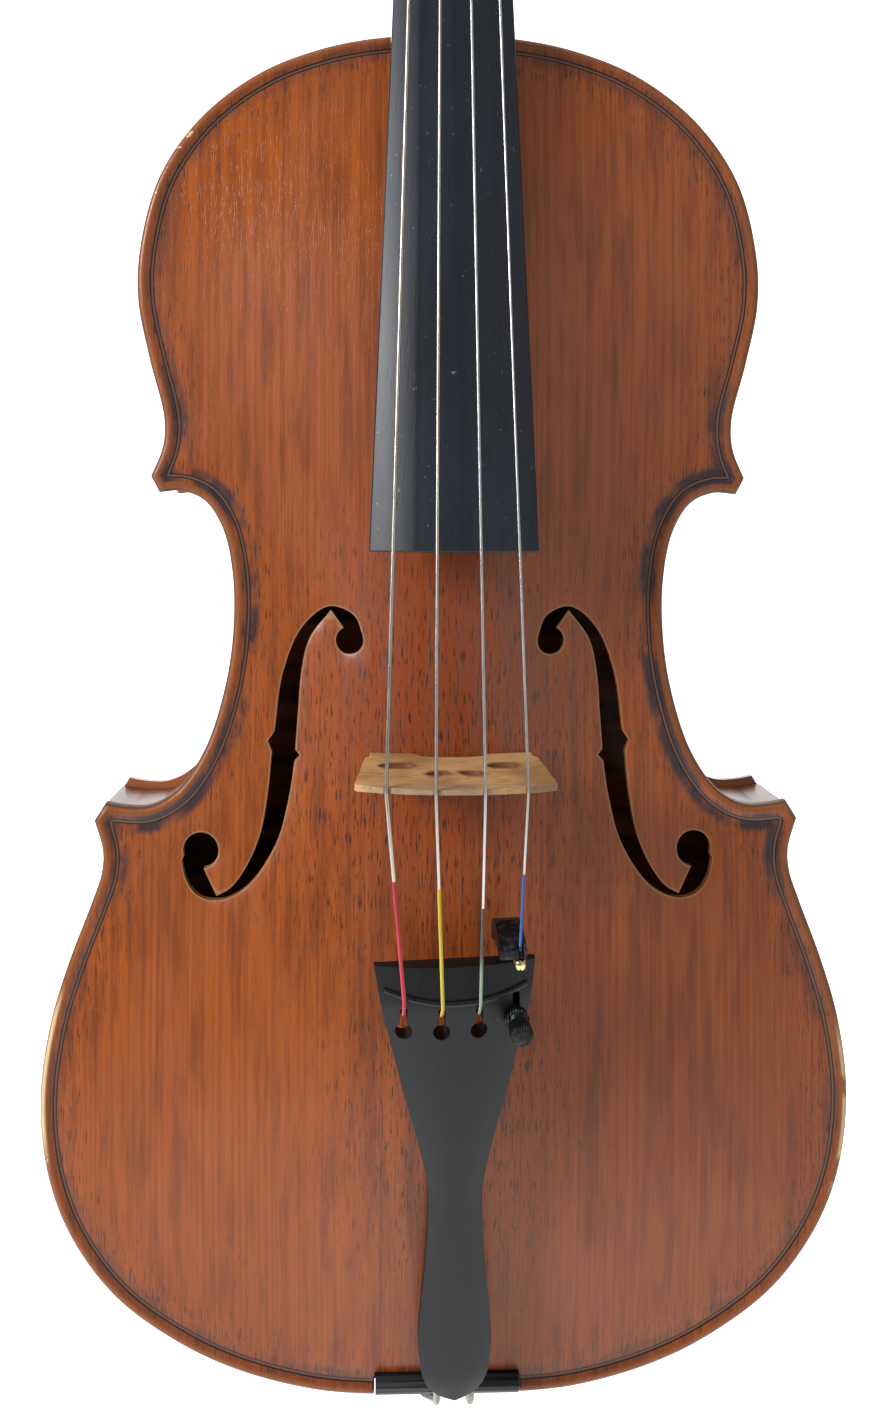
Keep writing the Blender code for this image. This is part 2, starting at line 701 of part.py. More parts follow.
def make_blocks():
    low, high = level(GLUE_GAP), level(RIB_DEPTH - GLUE_GAP)
    inset = OVERHANG + RIB_THICK + GLUE_GAP
    upper, middle, lower = bouts(inset)
    corners = (("upper", upper, middle), ("lower", middle, lower))
    for name, before, after in corners:
        lengths = [np.linalg.norm(np.diff(path, axis=0), axis=1).sum() for path in (before, after)]
        loop = np.vstack((trim(before, lengths[0] - BLOCK_LONG, 0.5),
                          trim(after, 0.5, lengths[1] - BLOCK_LONG)))
        for side, mirror in (("treble", (1, 1)), ("bass", (-1, 1))):
            slab(f"{name}_block_{side}", loop * mirror, low, high, facing_front, SPRUCE, 60)
    neck_top = NECK_SEAT_Z - RIB_THICK - 4 * GLUE_GAP
    slab("neck_block", rectangle((-26, neck_top - 16), (26, neck_top - 1.8)), low, high,
         facing_front, SPRUCE, 60)
    end = slab("end_block", rectangle((-24, inset + 0.4), (24, inset + 15)), low, high,
               facing_front, SPRUCE, 60)
    cut_away(end, button_bore("block_bore"))


# The bass bar leans on the belly inside, under the bridge's bass foot
def bar_outline():
    z = np.linspace(*BAR_ENDS, 14)
    return np.vstack((np.column_stack((np.full(14, BAR_SIDES[0]), z)),
                      np.column_stack((np.full(14, BAR_SIDES[1]), z[::-1]))))


# The sound post stands between the plates, just behind the bridge's treble foot
def post_outline():
    return arc((16.5, BRIDGE_BACK - 6), POST_RADIUS, 0, 330, 12)


def make_bar_and_post():
    def bar_low(points):
        return belly_inside(points) + GLUE_GAP

    def bar_high(points):
        share = (points[:, 1] - BAR_ENDS[0]) / (BAR_ENDS[1] - BAR_ENDS[0])
        return bar_low(points) + 3 + 8.5 * np.clip(np.sin(math.pi * share), 0, 1) ** 0.8

    slab("bass_bar", bar_outline(), bar_low, bar_high, facing_front, SPRUCE, 60)
    slab("sound_post", post_outline(), lambda points: belly_inside(points) + GLUE_GAP,
         lambda points: back_inside(points) - GLUE_GAP, facing_front, SPRUCE, 60)


# End button, saddle and tail gut


# Rings of a turned piece about an upright axis
def turned(profile, centre, count=20):
    return [np.column_stack((arc(centre, radius, 0, 360, count + 1)[:-1], np.full(count, z)))
            for z, radius in profile]


def button_bore(name):
    return loft(name, turned(((30, 4.0), (-5, 4.0)), (0, BUTTON_Y)), MAPLE)


def make_end_button():
    loft("end_button", turned(BUTTON_PROFILE, (0, BUTTON_Y)), EBONY)


def make_saddle():
    half = SADDLE_HALF - GLUE_GAP
    profile = (
        (-4.6, 1.0), (-6.0, 1.7), (-6.9, 2.8), (-7.2, 4.2), (-6.8, 5.8), (-5.4, 6.9), (-0.2, 6.9), (-0.2, 0.3),
    )
    rings = [[(x, y, z) for y, z in profile] for x in (-half, half)]
    loft("saddle", rings, EBONY)


# The gut leaves the tailpiece on both sides, bends over the saddle and loops the end button
def make_tail_gut():
    over = -7.2 - GUT_RADIUS - GLUE_GAP
    loop_radius = 5.3 + GUT_RADIUS + GLUE_GAP
    low = -GUT_RADIUS - GLUE_GAP
    side = [on_tail(GUT_HALF - 0.6, 16, -2.2), on_tail(GUT_HALF - 0.3, 6, -2.4)]
    side += [(GUT_X + GUT_HALF, over, 4.6), (GUT_X + GUT_HALF, over + 0.25, 2.2)]
    side += [(GUT_X + GUT_HALF, over + 2.2, -0.2), (GUT_X + GUT_HALF, over + 5.6, low)]
    side += [(GUT_X / 2 + GUT_HALF + 0.4, 8.0, low)]
    side = smooth(side, 4)
    mirror = side.copy()
    mirror[:, 0] = 2 * GUT_X - mirror[:, 0]
    mirror[-3:, 0] = -side[-3:, 0]
    turn = arc((0, BUTTON_Y), loop_radius, -25, 205, 11)
    turn = np.column_stack((turn, np.full(11, low)))
    cord("tail_gut", np.vstack((side, turn, mirror[::-1])), GUT_RADIUS, GUT)


# Fingerboard, nut and neck


# Share of the way from the fingerboard's body end to the nut
def along_board(z):
    return (z - BOARD_END) / (NUT_FOOT - BOARD_END)


def board_half(z):
    return BOARD_END_HALF + (BOARD_NUT_HALF - BOARD_END_HALF) * along_board(z)


def board_top(z):
    return BOARD_TOP_END + (BOARD_TOP_NUT - BOARD_TOP_END) * along_board(z)


def camber(x):
    return BOARD_CAMBER - np.sqrt(BOARD_CAMBER**2 - np.asarray(x, float) ** 2)


# The fingerboard's underside, a plane that the neck shares
def board_under(z):
    at_end = BOARD_TOP_END + camber(BOARD_END_HALF) + BOARD_EDGE
    at_nut = BOARD_TOP_NUT + camber(BOARD_NUT_HALF) + BOARD_EDGE
    return at_end + (at_nut - at_end) * along_board(z)


def make_fingerboard():
    rings = []
    for z in (BOARD_END, BOARD_END + 2, 300, 350, 392, 400, 450, 500, NUT_FOOT - GLUE_GAP):
        half = board_half(z)
        top = np.linspace(-half, half, 13)
        scoop = 3.5 if z < 395 else 0.0
        under = np.linspace(half - 0.6, -half + 0.6, 7)
        hollowed = board_under(z) - scoop * np.clip(1 - (under / (half - 3)) ** 2, 0, 1)
        ring = [(x, board_top(z) + camber(x), z) for x in top]
        ring += [(x, y, z) for x, y in zip(under, hollowed)]
        rings.append(ring)
    loft("fingerboard", rings, EBONY)


def make_nut():
    half = BOARD_NUT_HALF
    x = np.linspace(-half, half, 9)
    rings = []
    for z, lift in ((NUT_FOOT, 0.1), (NUT_FOOT + 1, 0.5), (NUT_FOOT + 3.5, 0.3), (NUT_FOOT + NUT_LONG, -0.8)):
        top = board_top(z) + camber(x) - lift
        low = board_under(NUT_FOOT)
        rings.append([(a, b, z) for a, b in zip(x, top)] + [(half, low, z), (-half, low, z)])
    loft("nut", rings, EBONY)


# Ring of a neck section: flat in front, and a rounded back that n makes squarer
def neck_ring(z, half, front, depth, n):
    angle = np.linspace(0, math.pi, 15)
    x = -half * np.sign(np.cos(angle)) * np.abs(np.cos(angle)) ** (2 / n)
    y = front + depth * np.sin(angle) ** (2 / n)
    return np.column_stack((x, y, np.full(15, z)))


def make_neck_stick():
    foot = NECK_SEAT_Z + GLUE_GAP
    heel_back = RIB_DEPTH - GLUE_GAP
    # height, depth of the back of the neck, squareness
    stations = (
        (foot, heel_back, 2.9), (405, heel_back, 2.7), (409.5, heel_back - 1.5, 2.5),
        (413, heel_back - 6.5, 2.3), (416, heel_back - 13, 2.2), (420, heel_back - 18.5, 2.1),
        (427, heel_back - 22.6, 2.0), (440, None, 2.0), (480, None, 2.0), (520, None, 2.0), (540, None, 2.1),
        (NUT_FOOT, None, 2.2),
        (NUT_FOOT + NUT_LONG + 2, None, 2.6),
    )
    rings = []
    for z, back, n in stations:
        front = board_under(min(z, NUT_FOOT)) + GLUE_GAP
        depth = (back if back else NECK_DEPTH + board_top(z) + 0.012 * (NUT_FOOT - z)) - front
        rings.append(neck_ring(z, board_half(min(z, NUT_FOOT)) - 0.3, front, depth, n))
    return loft("neck", rings, MAPLE)


def box_ring(z, front, back, half, round_back=2.5):
    turn = round_back
    return [(-half, front, z), (half, front, z), (half, back - turn, z), (half - turn, back, z),
            (-half + turn, back, z), (-half, back - turn, z)]


def spiral_radius(turned_by):
    shrink = math.log(SCROLL_RADIUS / SCROLL_EYE_RADIUS) / (2 * math.pi * SCROLL_TURNS)
    return SCROLL_RADIUS * np.exp(-shrink * turned_by)


# Half width of the scroll: narrow over its crown, and widening turn by turn to the eye
def spiral_half(turned_by):
    past = np.clip((turned_by - math.pi) / (2 * math.pi * SCROLL_TURNS - math.pi), 0, 1)
    return 8.3 - 0.9 * np.sin(np.clip(turned_by, 0, math.pi)) + (SCROLL_EYE_HALF - 8.3) * past**1.15


# The scroll is one strip on each side, whose inner edge is its own outer edge one turn later,
# and over the last turn the rim of the eye
def make_scroll():
    per_turn, across = 20, 3
    last = int(per_turn * SCROLL_TURNS)
    step = 2 * math.pi / per_turn
    corners, faces, names = [], [], {}

    def place(index, share, side):
        outer = np.array((spiral_radius(index * step), spiral_half(index * step)))
        later = min(index + per_turn, last) * step
        inner = np.array((spiral_radius(later), spiral_half(later)))
        channel = (outer[0] - inner[0]) * 0.1 * math.sin(math.pi * min(share * 1.5, 1))
        if share == 1:
            radius, half = inner
        else:
            radius, half = outer[0] + (inner[0] - outer[0]) * share * 1.15, outer[1] - channel
        angle = SCROLL_START + index * step
        return side * half, SCROLL_EYE[0] + radius * math.cos(angle), SCROLL_EYE[1] + radius * math.sin(angle)

    def corner(index, share, side):
        if share == across and index + per_turn <= last:
            index, share = index + per_turn, 0
        if index == last:
            share = 0
        if (index, share, side) not in names:
            names[index, share, side] = len(corners)
            corners.append(place(index, share / across, side))
        return names[index, share, side]

    for side in (1, -1):
        for index in range(last):
            for share in range(across):
                quad = (corner(index, share, side), corner(index + 1, share, side),
                        corner(index + 1, share + 1, side), corner(index, share + 1, side))
                faces.append(tuple(dict.fromkeys(quad)))
        faces.append(tuple(corner(index, across, side) for index in range(last - per_turn, last)))
    faces = [face for face in faces if len(face) > 2]
    for index in range(per_turn):
        faces.append((corner(index, 0, 1), corner(index + 1, 0, 1),
                      corner(index + 1, 0, -1), corner(index, 0, -1)))
    cap = [corner(0, share, 1) for share in range(across + 1)]
    cap += [corner(0, share, -1) for share in range(across, -1, -1)]
    faces.append(tuple(cap))
    return solid("scroll", np.array(corners), faces, MAPLE)


def make_neck():
    neck = make_neck_stick()
    box = loft("pegbox", [box_ring(*station) for station in PEGBOX], MAPLE)
    cavity_rings = [[(-w, -8, z), (w, -8, z), (w - 0.6, y, z), (-w + 0.6, y, z)] for z, y, w in CAVITY]
    cavity = loft("cavity", cavity_rings, MAPLE)
    cut_away(box, cavity)
    for string, side, y, z, _ in PEGS:
        bore_rings = peg_rings([(x, PEG_RADIUS + GLUE_GAP) for x in (-20, 20)])
        bore = loft(f"bore_{string}", bore_rings, MAPLE, at=(0, y, z))
        cut_away(box, bore)
    cut_away(neck, box, "UNION")
    cut_away(neck, make_scroll(), "UNION")


# Bridge

def bridge_top(x):
    return BRIDGE_CROWN + BRIDGE_CURVE - np.sqrt(BRIDGE_CURVE**2 - np.asarray(x, float) ** 2)


# The bridge seen along the strings: its feet follow the arch, and the strings sit in notches
def bridge_outline():
    def on_belly(x):
        spots = np.array([(x, z) for z in (BRIDGE_BACK, BRIDGE_FRONT)])
        return belly_front(spots).min() - GLUE_GAP

    foot_y = on_belly(10)
    right = [(x, on_belly(x)) for x in (10.2, 14.5, 19.0, BRIDGE_FOOT_HALF)]
    right += [(BRIDGE_FOOT_HALF, foot_y - 2.6), (BRIDGE_FOOT_HALF + 1.3, foot_y - 4.2)]
    right += [(BRIDGE_TOP_HALF, bridge_top(BRIDGE_TOP_HALF) + 1.2)]
    left = [(-x, y) for x, y in right][::-1]
    top = []
    for _, radius, _, x, _ in reversed(STRINGS):
        centre = (x, bridge_top(x) - 0.3)
        top += [tuple(point) for point in arc(centre, radius + 0.35, 40, 140, 4)]
        top += [(x - 4.5, float(bridge_top(x - 4.5)))] if x > -10 else []
    arch_between = [(-8.6, foot_y - 2.7), (-5, foot_y - 3.6), (5, foot_y - 3.6), (8.6, foot_y - 2.7)]
    crown = [(BRIDGE_TOP_HALF - 0.6, float(bridge_top(BRIDGE_TOP_HALF))), *top]
    crown.append((-BRIDGE_TOP_HALF + 0.6, float(bridge_top(BRIDGE_TOP_HALF))))
    return np.array(right + crown + left + arch_between, float)


def oval(centre, half_wide, half_tall, lean=0.0, count=12):
    points = arc((0, 0), 1, 0, 360, count + 1)[:-1] * (half_wide, half_tall)
    c, s = math.cos(lean), math.sin(lean)
    return points @ np.array(((c, s), (-s, c))) + centre


def make_bridge():
    foot_y = -EDGE_THICK - BELLY_RISE

    def front(points):
        share = np.clip((foot_y - points[:, 1]) / (foot_y - BRIDGE_CROWN), 0, 1)
        thick = (BRIDGE_FRONT - BRIDGE_BACK) + (BRIDGE_TOP_THICK - BRIDGE_FRONT + BRIDGE_BACK) * share
        return BRIDGE_BACK + thick

    holes = [oval((x, foot_y - above), wide, tall, lean) for x, above, wide, tall, lean in BRIDGE_HOLES]
    slab("bridge", bridge_outline(), level(BRIDGE_BACK), front, facing_up, PALE_MAPLE, 60, holes)


# Tailpiece and what it carries


# From the tailpiece's own frame: x across it, u up from its tip, v out from its underside
def tail_axes():
    across = np.array((1.0, 0, 0))
    along = np.array((0, -math.sin(TAIL_SLOPE), math.cos(TAIL_SLOPE)))
    out = np.array((0, -math.cos(TAIL_SLOPE), -math.sin(TAIL_SLOPE)))
    across, out = (math.cos(TAIL_ROLL) * across - math.sin(TAIL_ROLL) * out,
                   math.sin(TAIL_ROLL) * across + math.cos(TAIL_ROLL) * out)
    across, along = (math.cos(TAIL_SWING) * across - math.sin(TAIL_SWING) * along,
                     math.cos(TAIL_SWING) * along + math.sin(TAIL_SWING) * across)
    return across, along, out


def on_tail(x, u, v):
    across, along, out = tail_axes()
    return np.array(TAIL_TIP) + x * across + u * along + v * out


def tail_place(corners):
    return np.array(TAIL_TIP) + corners @ np.array(tail_axes())


# A side view (u, v) in the tailpiece's frame, with the height across it
def tail_side_place(corners):
    return tail_place(corners[:, (2, 0, 1)])


def tail_half(u):
    outline = np.array(TAIL_OUTLINE)
    return np.interp(u, outline[:, 1], outline[:, 0])


def tail_surface(points):
    table = np.array(TAIL_CROSS)
    middle = np.interp(points[:, 1], table[:, 0], table[:, 1])
    drop = np.interp(points[:, 1], table[:, 0], table[:, 2])
    share = np.clip(np.abs(points[:, 0]) / np.maximum(tail_half(points[:, 1]), 3), 0, 1)
    return middle - drop * share**2


def keyhole(x, radius=KEYHOLE_RADIUS, u=KEYHOLE_U):
    open_half = 1.0
    mouth = math.degrees(math.asin(open_half / radius))
    ring = arc((x, u), radius, 90 + mouth, 450 - mouth, 11)
    return np.vstack((ring, [(x + open_half, u + 6.2), (x, u + 6.9), (x - open_half, u + 6.2)]))


def make_tailpiece():
    half = smooth(TAIL_OUTLINE, 7, before=(-5.0, 1.5))
    end = np.array(((14.0, TAIL_LONG), (7.0, TAIL_LONG), (0, TAIL_LONG)))
    loop = np.vstack((half, end, (end[:2] * (-1, 1))[::-1], (half[1:] * (-1, 1))[::-1]))
    holes = [keyhole(x) for _, _, _, _, x in STRINGS[:3]] + [keyhole(TUNER_X, 2.4, TUNER_U)]
    slab("tailpiece", loop, level(0), tail_surface, tail_place, EBONY, 8, holes)


def fret_line(x):
    return TAIL_FRET + FRET_BEND * (np.asarray(x, float) / FRET_HALF) ** 2


def make_tailpiece_fret():
    x = np.linspace(-FRET_HALF, FRET_HALF, 11)
    loop = np.vstack((np.column_stack((x, fret_line(x) - 0.8)),
                      np.column_stack((x[::-1], fret_line(x[::-1]) + 0.8))))

    def foot(points):
        return tail_surface(points) + GLUE_GAP

    slab("tailpiece_fret", loop, foot, lambda points: foot(points) + FRET_HIGH, tail_place, EBONY, 60)


def tail_ring(centre, radius, v, count=20):
    loop = arc(centre, radius, 0, 360, count + 1)[:-1]
    return tail_place(np.column_stack((loop, np.full(count, v))))


# The bracket: a plate under the tailpiece, a threaded collar up through it, and two ears
def make_tuner_bracket():
    x, u = TUNER_X, TUNER_U
    pivot_u, pivot_v = LEVER_PIVOT
    plate = slab("tuner_bracket", rectangle((x - 2.4, u - 3.5), (x + 2.4, pivot_u + 2.0)), level(-1.5),
                 level(-GLUE_GAP), tail_place, BLACK_METAL, 60)
    collar = loft("tuner_collar", [tail_ring((x, u), 2.1, v) for v in (-1.2, 9.6)], BLACK_METAL)
    cut_away(plate, collar, "UNION")
    ear = np.array((
        (pivot_u - 2.5, -1.0), (pivot_u - 1.8, -6.0), (pivot_u + 1.5, -6.0), (pivot_u + 1.9, -1.0),
    ))
    for side, low, high in (("bass", x - 2.4, x - 1.7), ("treble", x + 1.7, x + 2.4)):
        solid_ear = slab(f"ear_{side}", ear, level(low), level(high), tail_side_place, BLACK_METAL, 60)
        cut_away(plate, solid_ear, "UNION")
    pin_hole = np.column_stack((arc((pivot_u, pivot_v), 1.05, 0, 330, 12), np.zeros(12)))
    drill = [tail_side_place(pin_hole + (0, 0, x + shift)) for shift in (-5, 5)]
    cut_away(plate, loft("pin_drill", drill, BLACK_METAL))
    cut_away(plate, loft("screw_drill", [tail_ring((x, u), 1.35, v, 16) for v in (-3, 12)], BLACK_METAL))


# The screw's tip stands on the lever's arm, under the tailpiece
def make_tuner_screw():
    x, u = TUNER_X, TUNER_U
    pin = arc(LEVER_PIVOT, 0.75, 0, 330, 12)
    slab("tuner_pin", pin, level(x - 2.6), level(x + 2.6), tail_side_place, STEEL, 60)
    seat = tail_surface(np.array([(x - 3.3, u)]))[0] + GLUE_GAP
    nut_hole = arc((x, u), 2.4, 0, 337.5, 16)
    slab("tuner_ring_nut", arc((x, u), 3.3, 0, 345, 24), level(seat), level(seat + 1.6), tail_place,
         BLACK_METAL, 60, (nut_hole,))
    profile = ((-4.5, 1.0), (11.4, 1.0), (11.4, 2.4), (12.2, 3.1), (16.6, 3.1), (17.4, 2.4))
    loft("tuner_screw", [tail_ring((x, u), radius, v) for v, radius in profile], BLACK_METAL)


# The lever: an arm under the tailpiece, and past its end a broad block with a forked hook
def make_tuner_lever():
    x, u = TUNER_X, TUNER_U
    pivot_u, pivot_v = LEVER_PIVOT
    arm = np.array((
        (u - 2.5, -6.2), (140.4, -6.2), (140.4, -2.4), (138.0, -2.2), (pivot_u - 2.5, -2.6), (u + 3.0, -4.8),
        (u - 2.5, -4.8),
    ))
    hole = arc(LEVER_PIVOT, 1.05, 0, 330, 12)
    lever = slab("tuner_lever", arm, level(x - LEVER_HALF), level(x + LEVER_HALF), tail_side_place,
                 BLACK_METAL, 60, (hole,))
    block = np.array((
        (137.4, -6.4), (141.2, -6.4), (143.4, -4.6), (144.4, -1.0), (144.0, 3.0), (142.6, 8.0), (141.2, 10.8),
        (138.7, 10.8), (138.4, 8.2), (139.4, 4.0), (139.6, 0.0), (137.8, -2.8),
    ))
    block = slab("tuner_block", block, level(x - 5.2), level(x + 2.1), tail_side_place, BLACK_METAL, 60)
    cut_away(lever, block, "UNION")
    fork = rectangle((132, HOOK_V - 1.6), (152, 14))
    cut_away(lever, slab("fork_slot", fork, level(HOOK_X - 0.7), level(HOOK_X + 0.7), tail_side_place,
                         BLACK_METAL, 60))


# Strings, their ball ends, the pegs and the string wound on them

def peg_rings(stations):
    angle = np.linspace(0, 2 * math.pi, 15)[:-1]
    rings = []
    for x, *radii in stations:
        deep, tall = radii[0], radii[-1]
        rings.append(np.column_stack((np.full(14, x), deep * np.cos(angle), tall * np.sin(angle))))
    return rings


def pegbox_half(z):
    table = np.array(PEGBOX)
    return float(np.interp(z, table[:, 0], table[:, 3]))


def make_peg(string, side, y, z, turn):
    half = pegbox_half(z)
    collar = half + 1.2

    def shaft(x):
        return PEG_RADIUS - (half - x) * PEG_TAPER / 2

    stations = [(-half - 2.0, shaft(-half) - 0.6), (-half - 1.4, shaft(-half)), (collar - 0.2, shaft(half))]
    stations += [(collar + past, *radii) for past, *radii in PEG_HEAD]
    rings = [ring * (side, 1, 1) for ring in peg_rings(stations)]
    peg = loft(f"peg_{string}", rings, EBONY, at=(0, y, z))
    peg.rotation_euler.x = math.radians(turn)


# Where the string leaves its winding for the nut, and the angle of that point about the peg
def leaves_winding(winding_radius, y, z, nut_y, nut_z):
    away = math.atan2(nut_z - z, nut_y - y)
    spread = math.acos(winding_radius / math.hypot(nut_y - y, nut_z - z))
    angles = (away + spread, away - spread)
    return min(angles, key=math.cos)


def make_winding(string, radius, side, y, z, nut_y, nut_z):
    coil = PEG_RADIUS + 0.35 + radius
    pitch = 2 * radius + 0.55
    start = leaves_winding(coil, y, z, nut_y, nut_z)
    turn = np.arange(WINDING_TURNS * POINTS_PER_TURN + 1) / POINTS_PER_TURN
    angle = start - 2 * math.pi * turn
    x = side * (WINDING_START + pitch * turn)
    helix = np.column_stack((x, coil * np.cos(angle), coil * np.sin(angle)))
    leaving = np.array((0, -math.sin(start), math.cos(start)))
    leaving *= -math.copysign(1, leaving[2])
    helix = np.vstack((helix[:1] + leaving * 2 * radius, helix))
    tail = helix[-1] - helix[-2]
    helix = np.vstack((helix, helix[-1] + tail / np.linalg.norm(tail) * 2 * radius))
    cord(f"winding_{string}", helix, radius, STEEL, at=(0, y, z))
    apart = np.linalg.norm(helix[:, None] - helix[None], axis=2)
    index = np.arange(len(helix))
    far_along = np.abs(index[:, None] - index[None]) > POINTS_PER_TURN // 2
    print(f"winding_{string}: least gap to itself {apart[far_along].min() - 2 * radius:.2f} mm")
    reach = math.hypot(coil + radius, 2 * radius) + 0.4
    stop = math.sqrt(reach**2 - (coil - radius) ** 2)
    meet = np.array((helix[1, 0], y + helix[1, 1], z + helix[1, 2]))
    return meet, stop


def make_string(string, radius, nut_x, bridge_x, tail_x):
    side, y, z = next((side, y, z) for name, side, y, z, _ in PEGS if name == string)
    nut_y = float(board_top(NUT_FOOT) + camber(nut_x)) - 0.5 - GLUE_GAP - radius
    nut_back = (nut_x, nut_y + 0.7, NUT_FOOT + NUT_LONG + 0.4)
    meet, stop = make_winding(string, radius, side, y, z, nut_back[1], nut_back[2])
    run = np.array(nut_back) - meet
    first = meet + run / np.linalg.norm(run) * stop
    bridge_y = float(bridge_top(bridge_x)) - 0.3
    path = [first, nut_back, (nut_x, nut_y, NUT_FOOT + 1)]
    path += [(bridge_x, bridge_y, BRIDGE_BACK + BRIDGE_TOP_THICK), (bridge_x, bridge_y, BRIDGE_BACK)]
    if string == "a":
        path += [on_tail(HOOK_X, 142.5, HOOK_V), on_tail(HOOK_X, HOOK_U + LEVER_PLAY, HOOK_V)]
        sizes = ((-0.3, 0.9), (-0.7, BALL_RADIUS), (-2.9, BALL_RADIUS), (-3.3, 0.9))
        loft("ball_a", [tail_across_ring(HOOK_X, HOOK_U + u, HOOK_V, size) for u, size in sizes], BRASS)
    else:
        fret = (tail_x, float(fret_line(tail_x)))
        over = tail_surface(np.array([fret]))[0] + GLUE_GAP + FRET_HIGH + STRING_OVER_FRET + radius
        dip = tail_surface(np.array([(tail_x, KEYHOLE_U + 5)]))[0]
        path += [on_tail(*fret, over), on_tail(tail_x, KEYHOLE_U + 5.8, dip + 0.6),
                 on_tail(tail_x, KEYHOLE_U + 3.6, dip - 2.4), on_tail(tail_x, KEYHOLE_U + 2.6, -1.0)]
        rings = [tail_ring((tail_x, KEYHOLE_U + 2.6), size, v, 10)
                 for v, size in ((-1.5, 0.9), (-1.8, BALL_RADIUS), (-3.4, BALL_RADIUS), (-3.8, 0.9))]
        loft(f"ball_{string}", rings, BRASS)
    cord(f"string_{string}", path, radius, STEEL)


# A ring about a line that runs along the tailpiece
def tail_across_ring(x, u, v, radius):
    loop = arc((x, v), radius, 0, 324, 10)
    return tail_place(np.column_stack((loop[:, 0], np.full(10, u), loop[:, 1])))


make_top_plate()
make_back_plate()
make_purflings()
make_ribs()
make_linings()
make_blocks()
make_bar_and_post()
make_end_button()
make_saddle()
make_tail_gut()
make_fingerboard()
make_nut()
make_neck()
make_bridge()
make_tailpiece()
make_tailpiece_fret()
make_tuner_bracket()
make_tuner_screw()
make_tuner_lever()
for peg_data in PEGS:
    make_peg(*peg_data)
for string_data in STRINGS:
    make_string(*string_data)
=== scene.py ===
import math

import bmesh
import bpy
import numpy as np
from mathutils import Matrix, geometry
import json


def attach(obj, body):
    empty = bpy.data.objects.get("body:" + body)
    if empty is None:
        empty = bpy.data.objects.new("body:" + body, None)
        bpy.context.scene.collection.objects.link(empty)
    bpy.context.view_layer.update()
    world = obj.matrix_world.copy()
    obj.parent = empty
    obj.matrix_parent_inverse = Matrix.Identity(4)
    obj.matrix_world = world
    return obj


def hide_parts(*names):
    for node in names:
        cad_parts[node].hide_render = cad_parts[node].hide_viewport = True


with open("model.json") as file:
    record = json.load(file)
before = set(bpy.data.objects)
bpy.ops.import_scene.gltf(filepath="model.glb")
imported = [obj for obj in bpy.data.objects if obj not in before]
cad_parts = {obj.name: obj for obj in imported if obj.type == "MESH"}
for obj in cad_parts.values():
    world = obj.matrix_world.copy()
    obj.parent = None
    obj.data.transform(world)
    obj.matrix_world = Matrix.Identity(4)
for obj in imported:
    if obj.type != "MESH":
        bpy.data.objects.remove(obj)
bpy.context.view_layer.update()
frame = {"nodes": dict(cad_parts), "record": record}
nodes = frame["nodes"]
print("frame loaded,", len(nodes), "nodes")

# The part's own millimetres: x to the treble side, y back from the belly's glue plane, z up
# from the bottom of the body. The frame's origin is the hanger inside the throat.
hanger = np.array((0.0, 21.0, 622.0))


def toFrame(points):
    return (np.asarray(points, float) - hanger) / 1000


# Material helpers

# sRGB hex to linear: the standard curve, with its straight foot below 0.04045
def colour(hexCode):
    parts = [int(hexCode[i:i + 2], 16) / 255 for i in (1, 3, 5)]
    return tuple(p / 12.92 if p <= 0.04045 else ((p + 0.055) / 1.055) ** 2.4 for p in parts) + (1.0,)


def newMaterial(name):
    material = bpy.data.materials.new(name)
    material.use_nodes = True
    material.node_tree.nodes.clear()
    return material


# Adds a node: settings are its properties, and inputs go to sockets as values or links
def addNode(material, kind, inputs=None, **settings):
    node = material.node_tree.nodes.new("ShaderNode" + kind)
    for key, value in settings.items():
        setattr(node, key, value)
    for key, value in (inputs or {}).items():
        if isinstance(value, bpy.types.NodeSocket):
            material.node_tree.links.new(value, node.inputs[key])
        else:
            node.inputs[key].default_value = value
    return node


def finishMaterial(material, shader):
    output = material.node_tree.nodes.new("ShaderNodeOutputMaterial")
    material.node_tree.links.new(shader.outputs[0], output.inputs["Surface"])
    return material


def calc(material, operation, *values):
    return addNode(material, "Math", dict(enumerate(values)), operation=operation).outputs[0]


# Goes smoothly from 0 at the low value to 1 at the high one, or back where low is above high
def ramp(material, value, low, high):
    if low > high:
        return calc(material, "SUBTRACT", 1.0, ramp(material, value, high, low))
    node = addNode(material, "MapRange", {"Value": value, "From Min": low, "From Max": high},
                   interpolation_type="SMOOTHSTEP")
    return node.outputs["Result"]


# 1 between the low and high value, and 0 beyond them by the soft distance
def band(material, value, low, high, soft):
    return calc(material, "MULTIPLY", ramp(material, value, low - soft, low),
                ramp(material, value, high + soft, high))


def blend(material, share, first, second, mode="MIX"):
    node = addNode(material, "Mix", {0: share, 6: first, 7: second}, data_type="RGBA", blend_type=mode)
    return node.outputs[2]


# Object coordinates in metres, times a number of pattern units per metre on each axis
def patternSpace(material, perMetre):
    place = addNode(material, "TexCoord").outputs["Object"]
    return addNode(material, "VectorMath", {0: place, 1: perMetre}, operation="MULTIPLY").outputs[0]


def noise(material, perMetre, detail=2.0, roughness=0.5, distortion=0.0):
    space = patternSpace(material, perMetre)
    inputs = {"Vector": space, "Scale": 1.0, "Detail": detail, "Roughness": roughness, "Distortion": distortion}
    return addNode(material, "TexNoise", inputs).outputs["Fac"]


# Object coordinates back in the part's millimetres: x, y, z
def bodyPlace(material):
    place = addNode(material, "TexCoord").outputs["Object"]
    axes = addNode(material, "SeparateXYZ", {0: place})
    return [calc(material, "MULTIPLY_ADD", axes.outputs[i], 1000.0, float(hanger[i])) for i in range(3)]


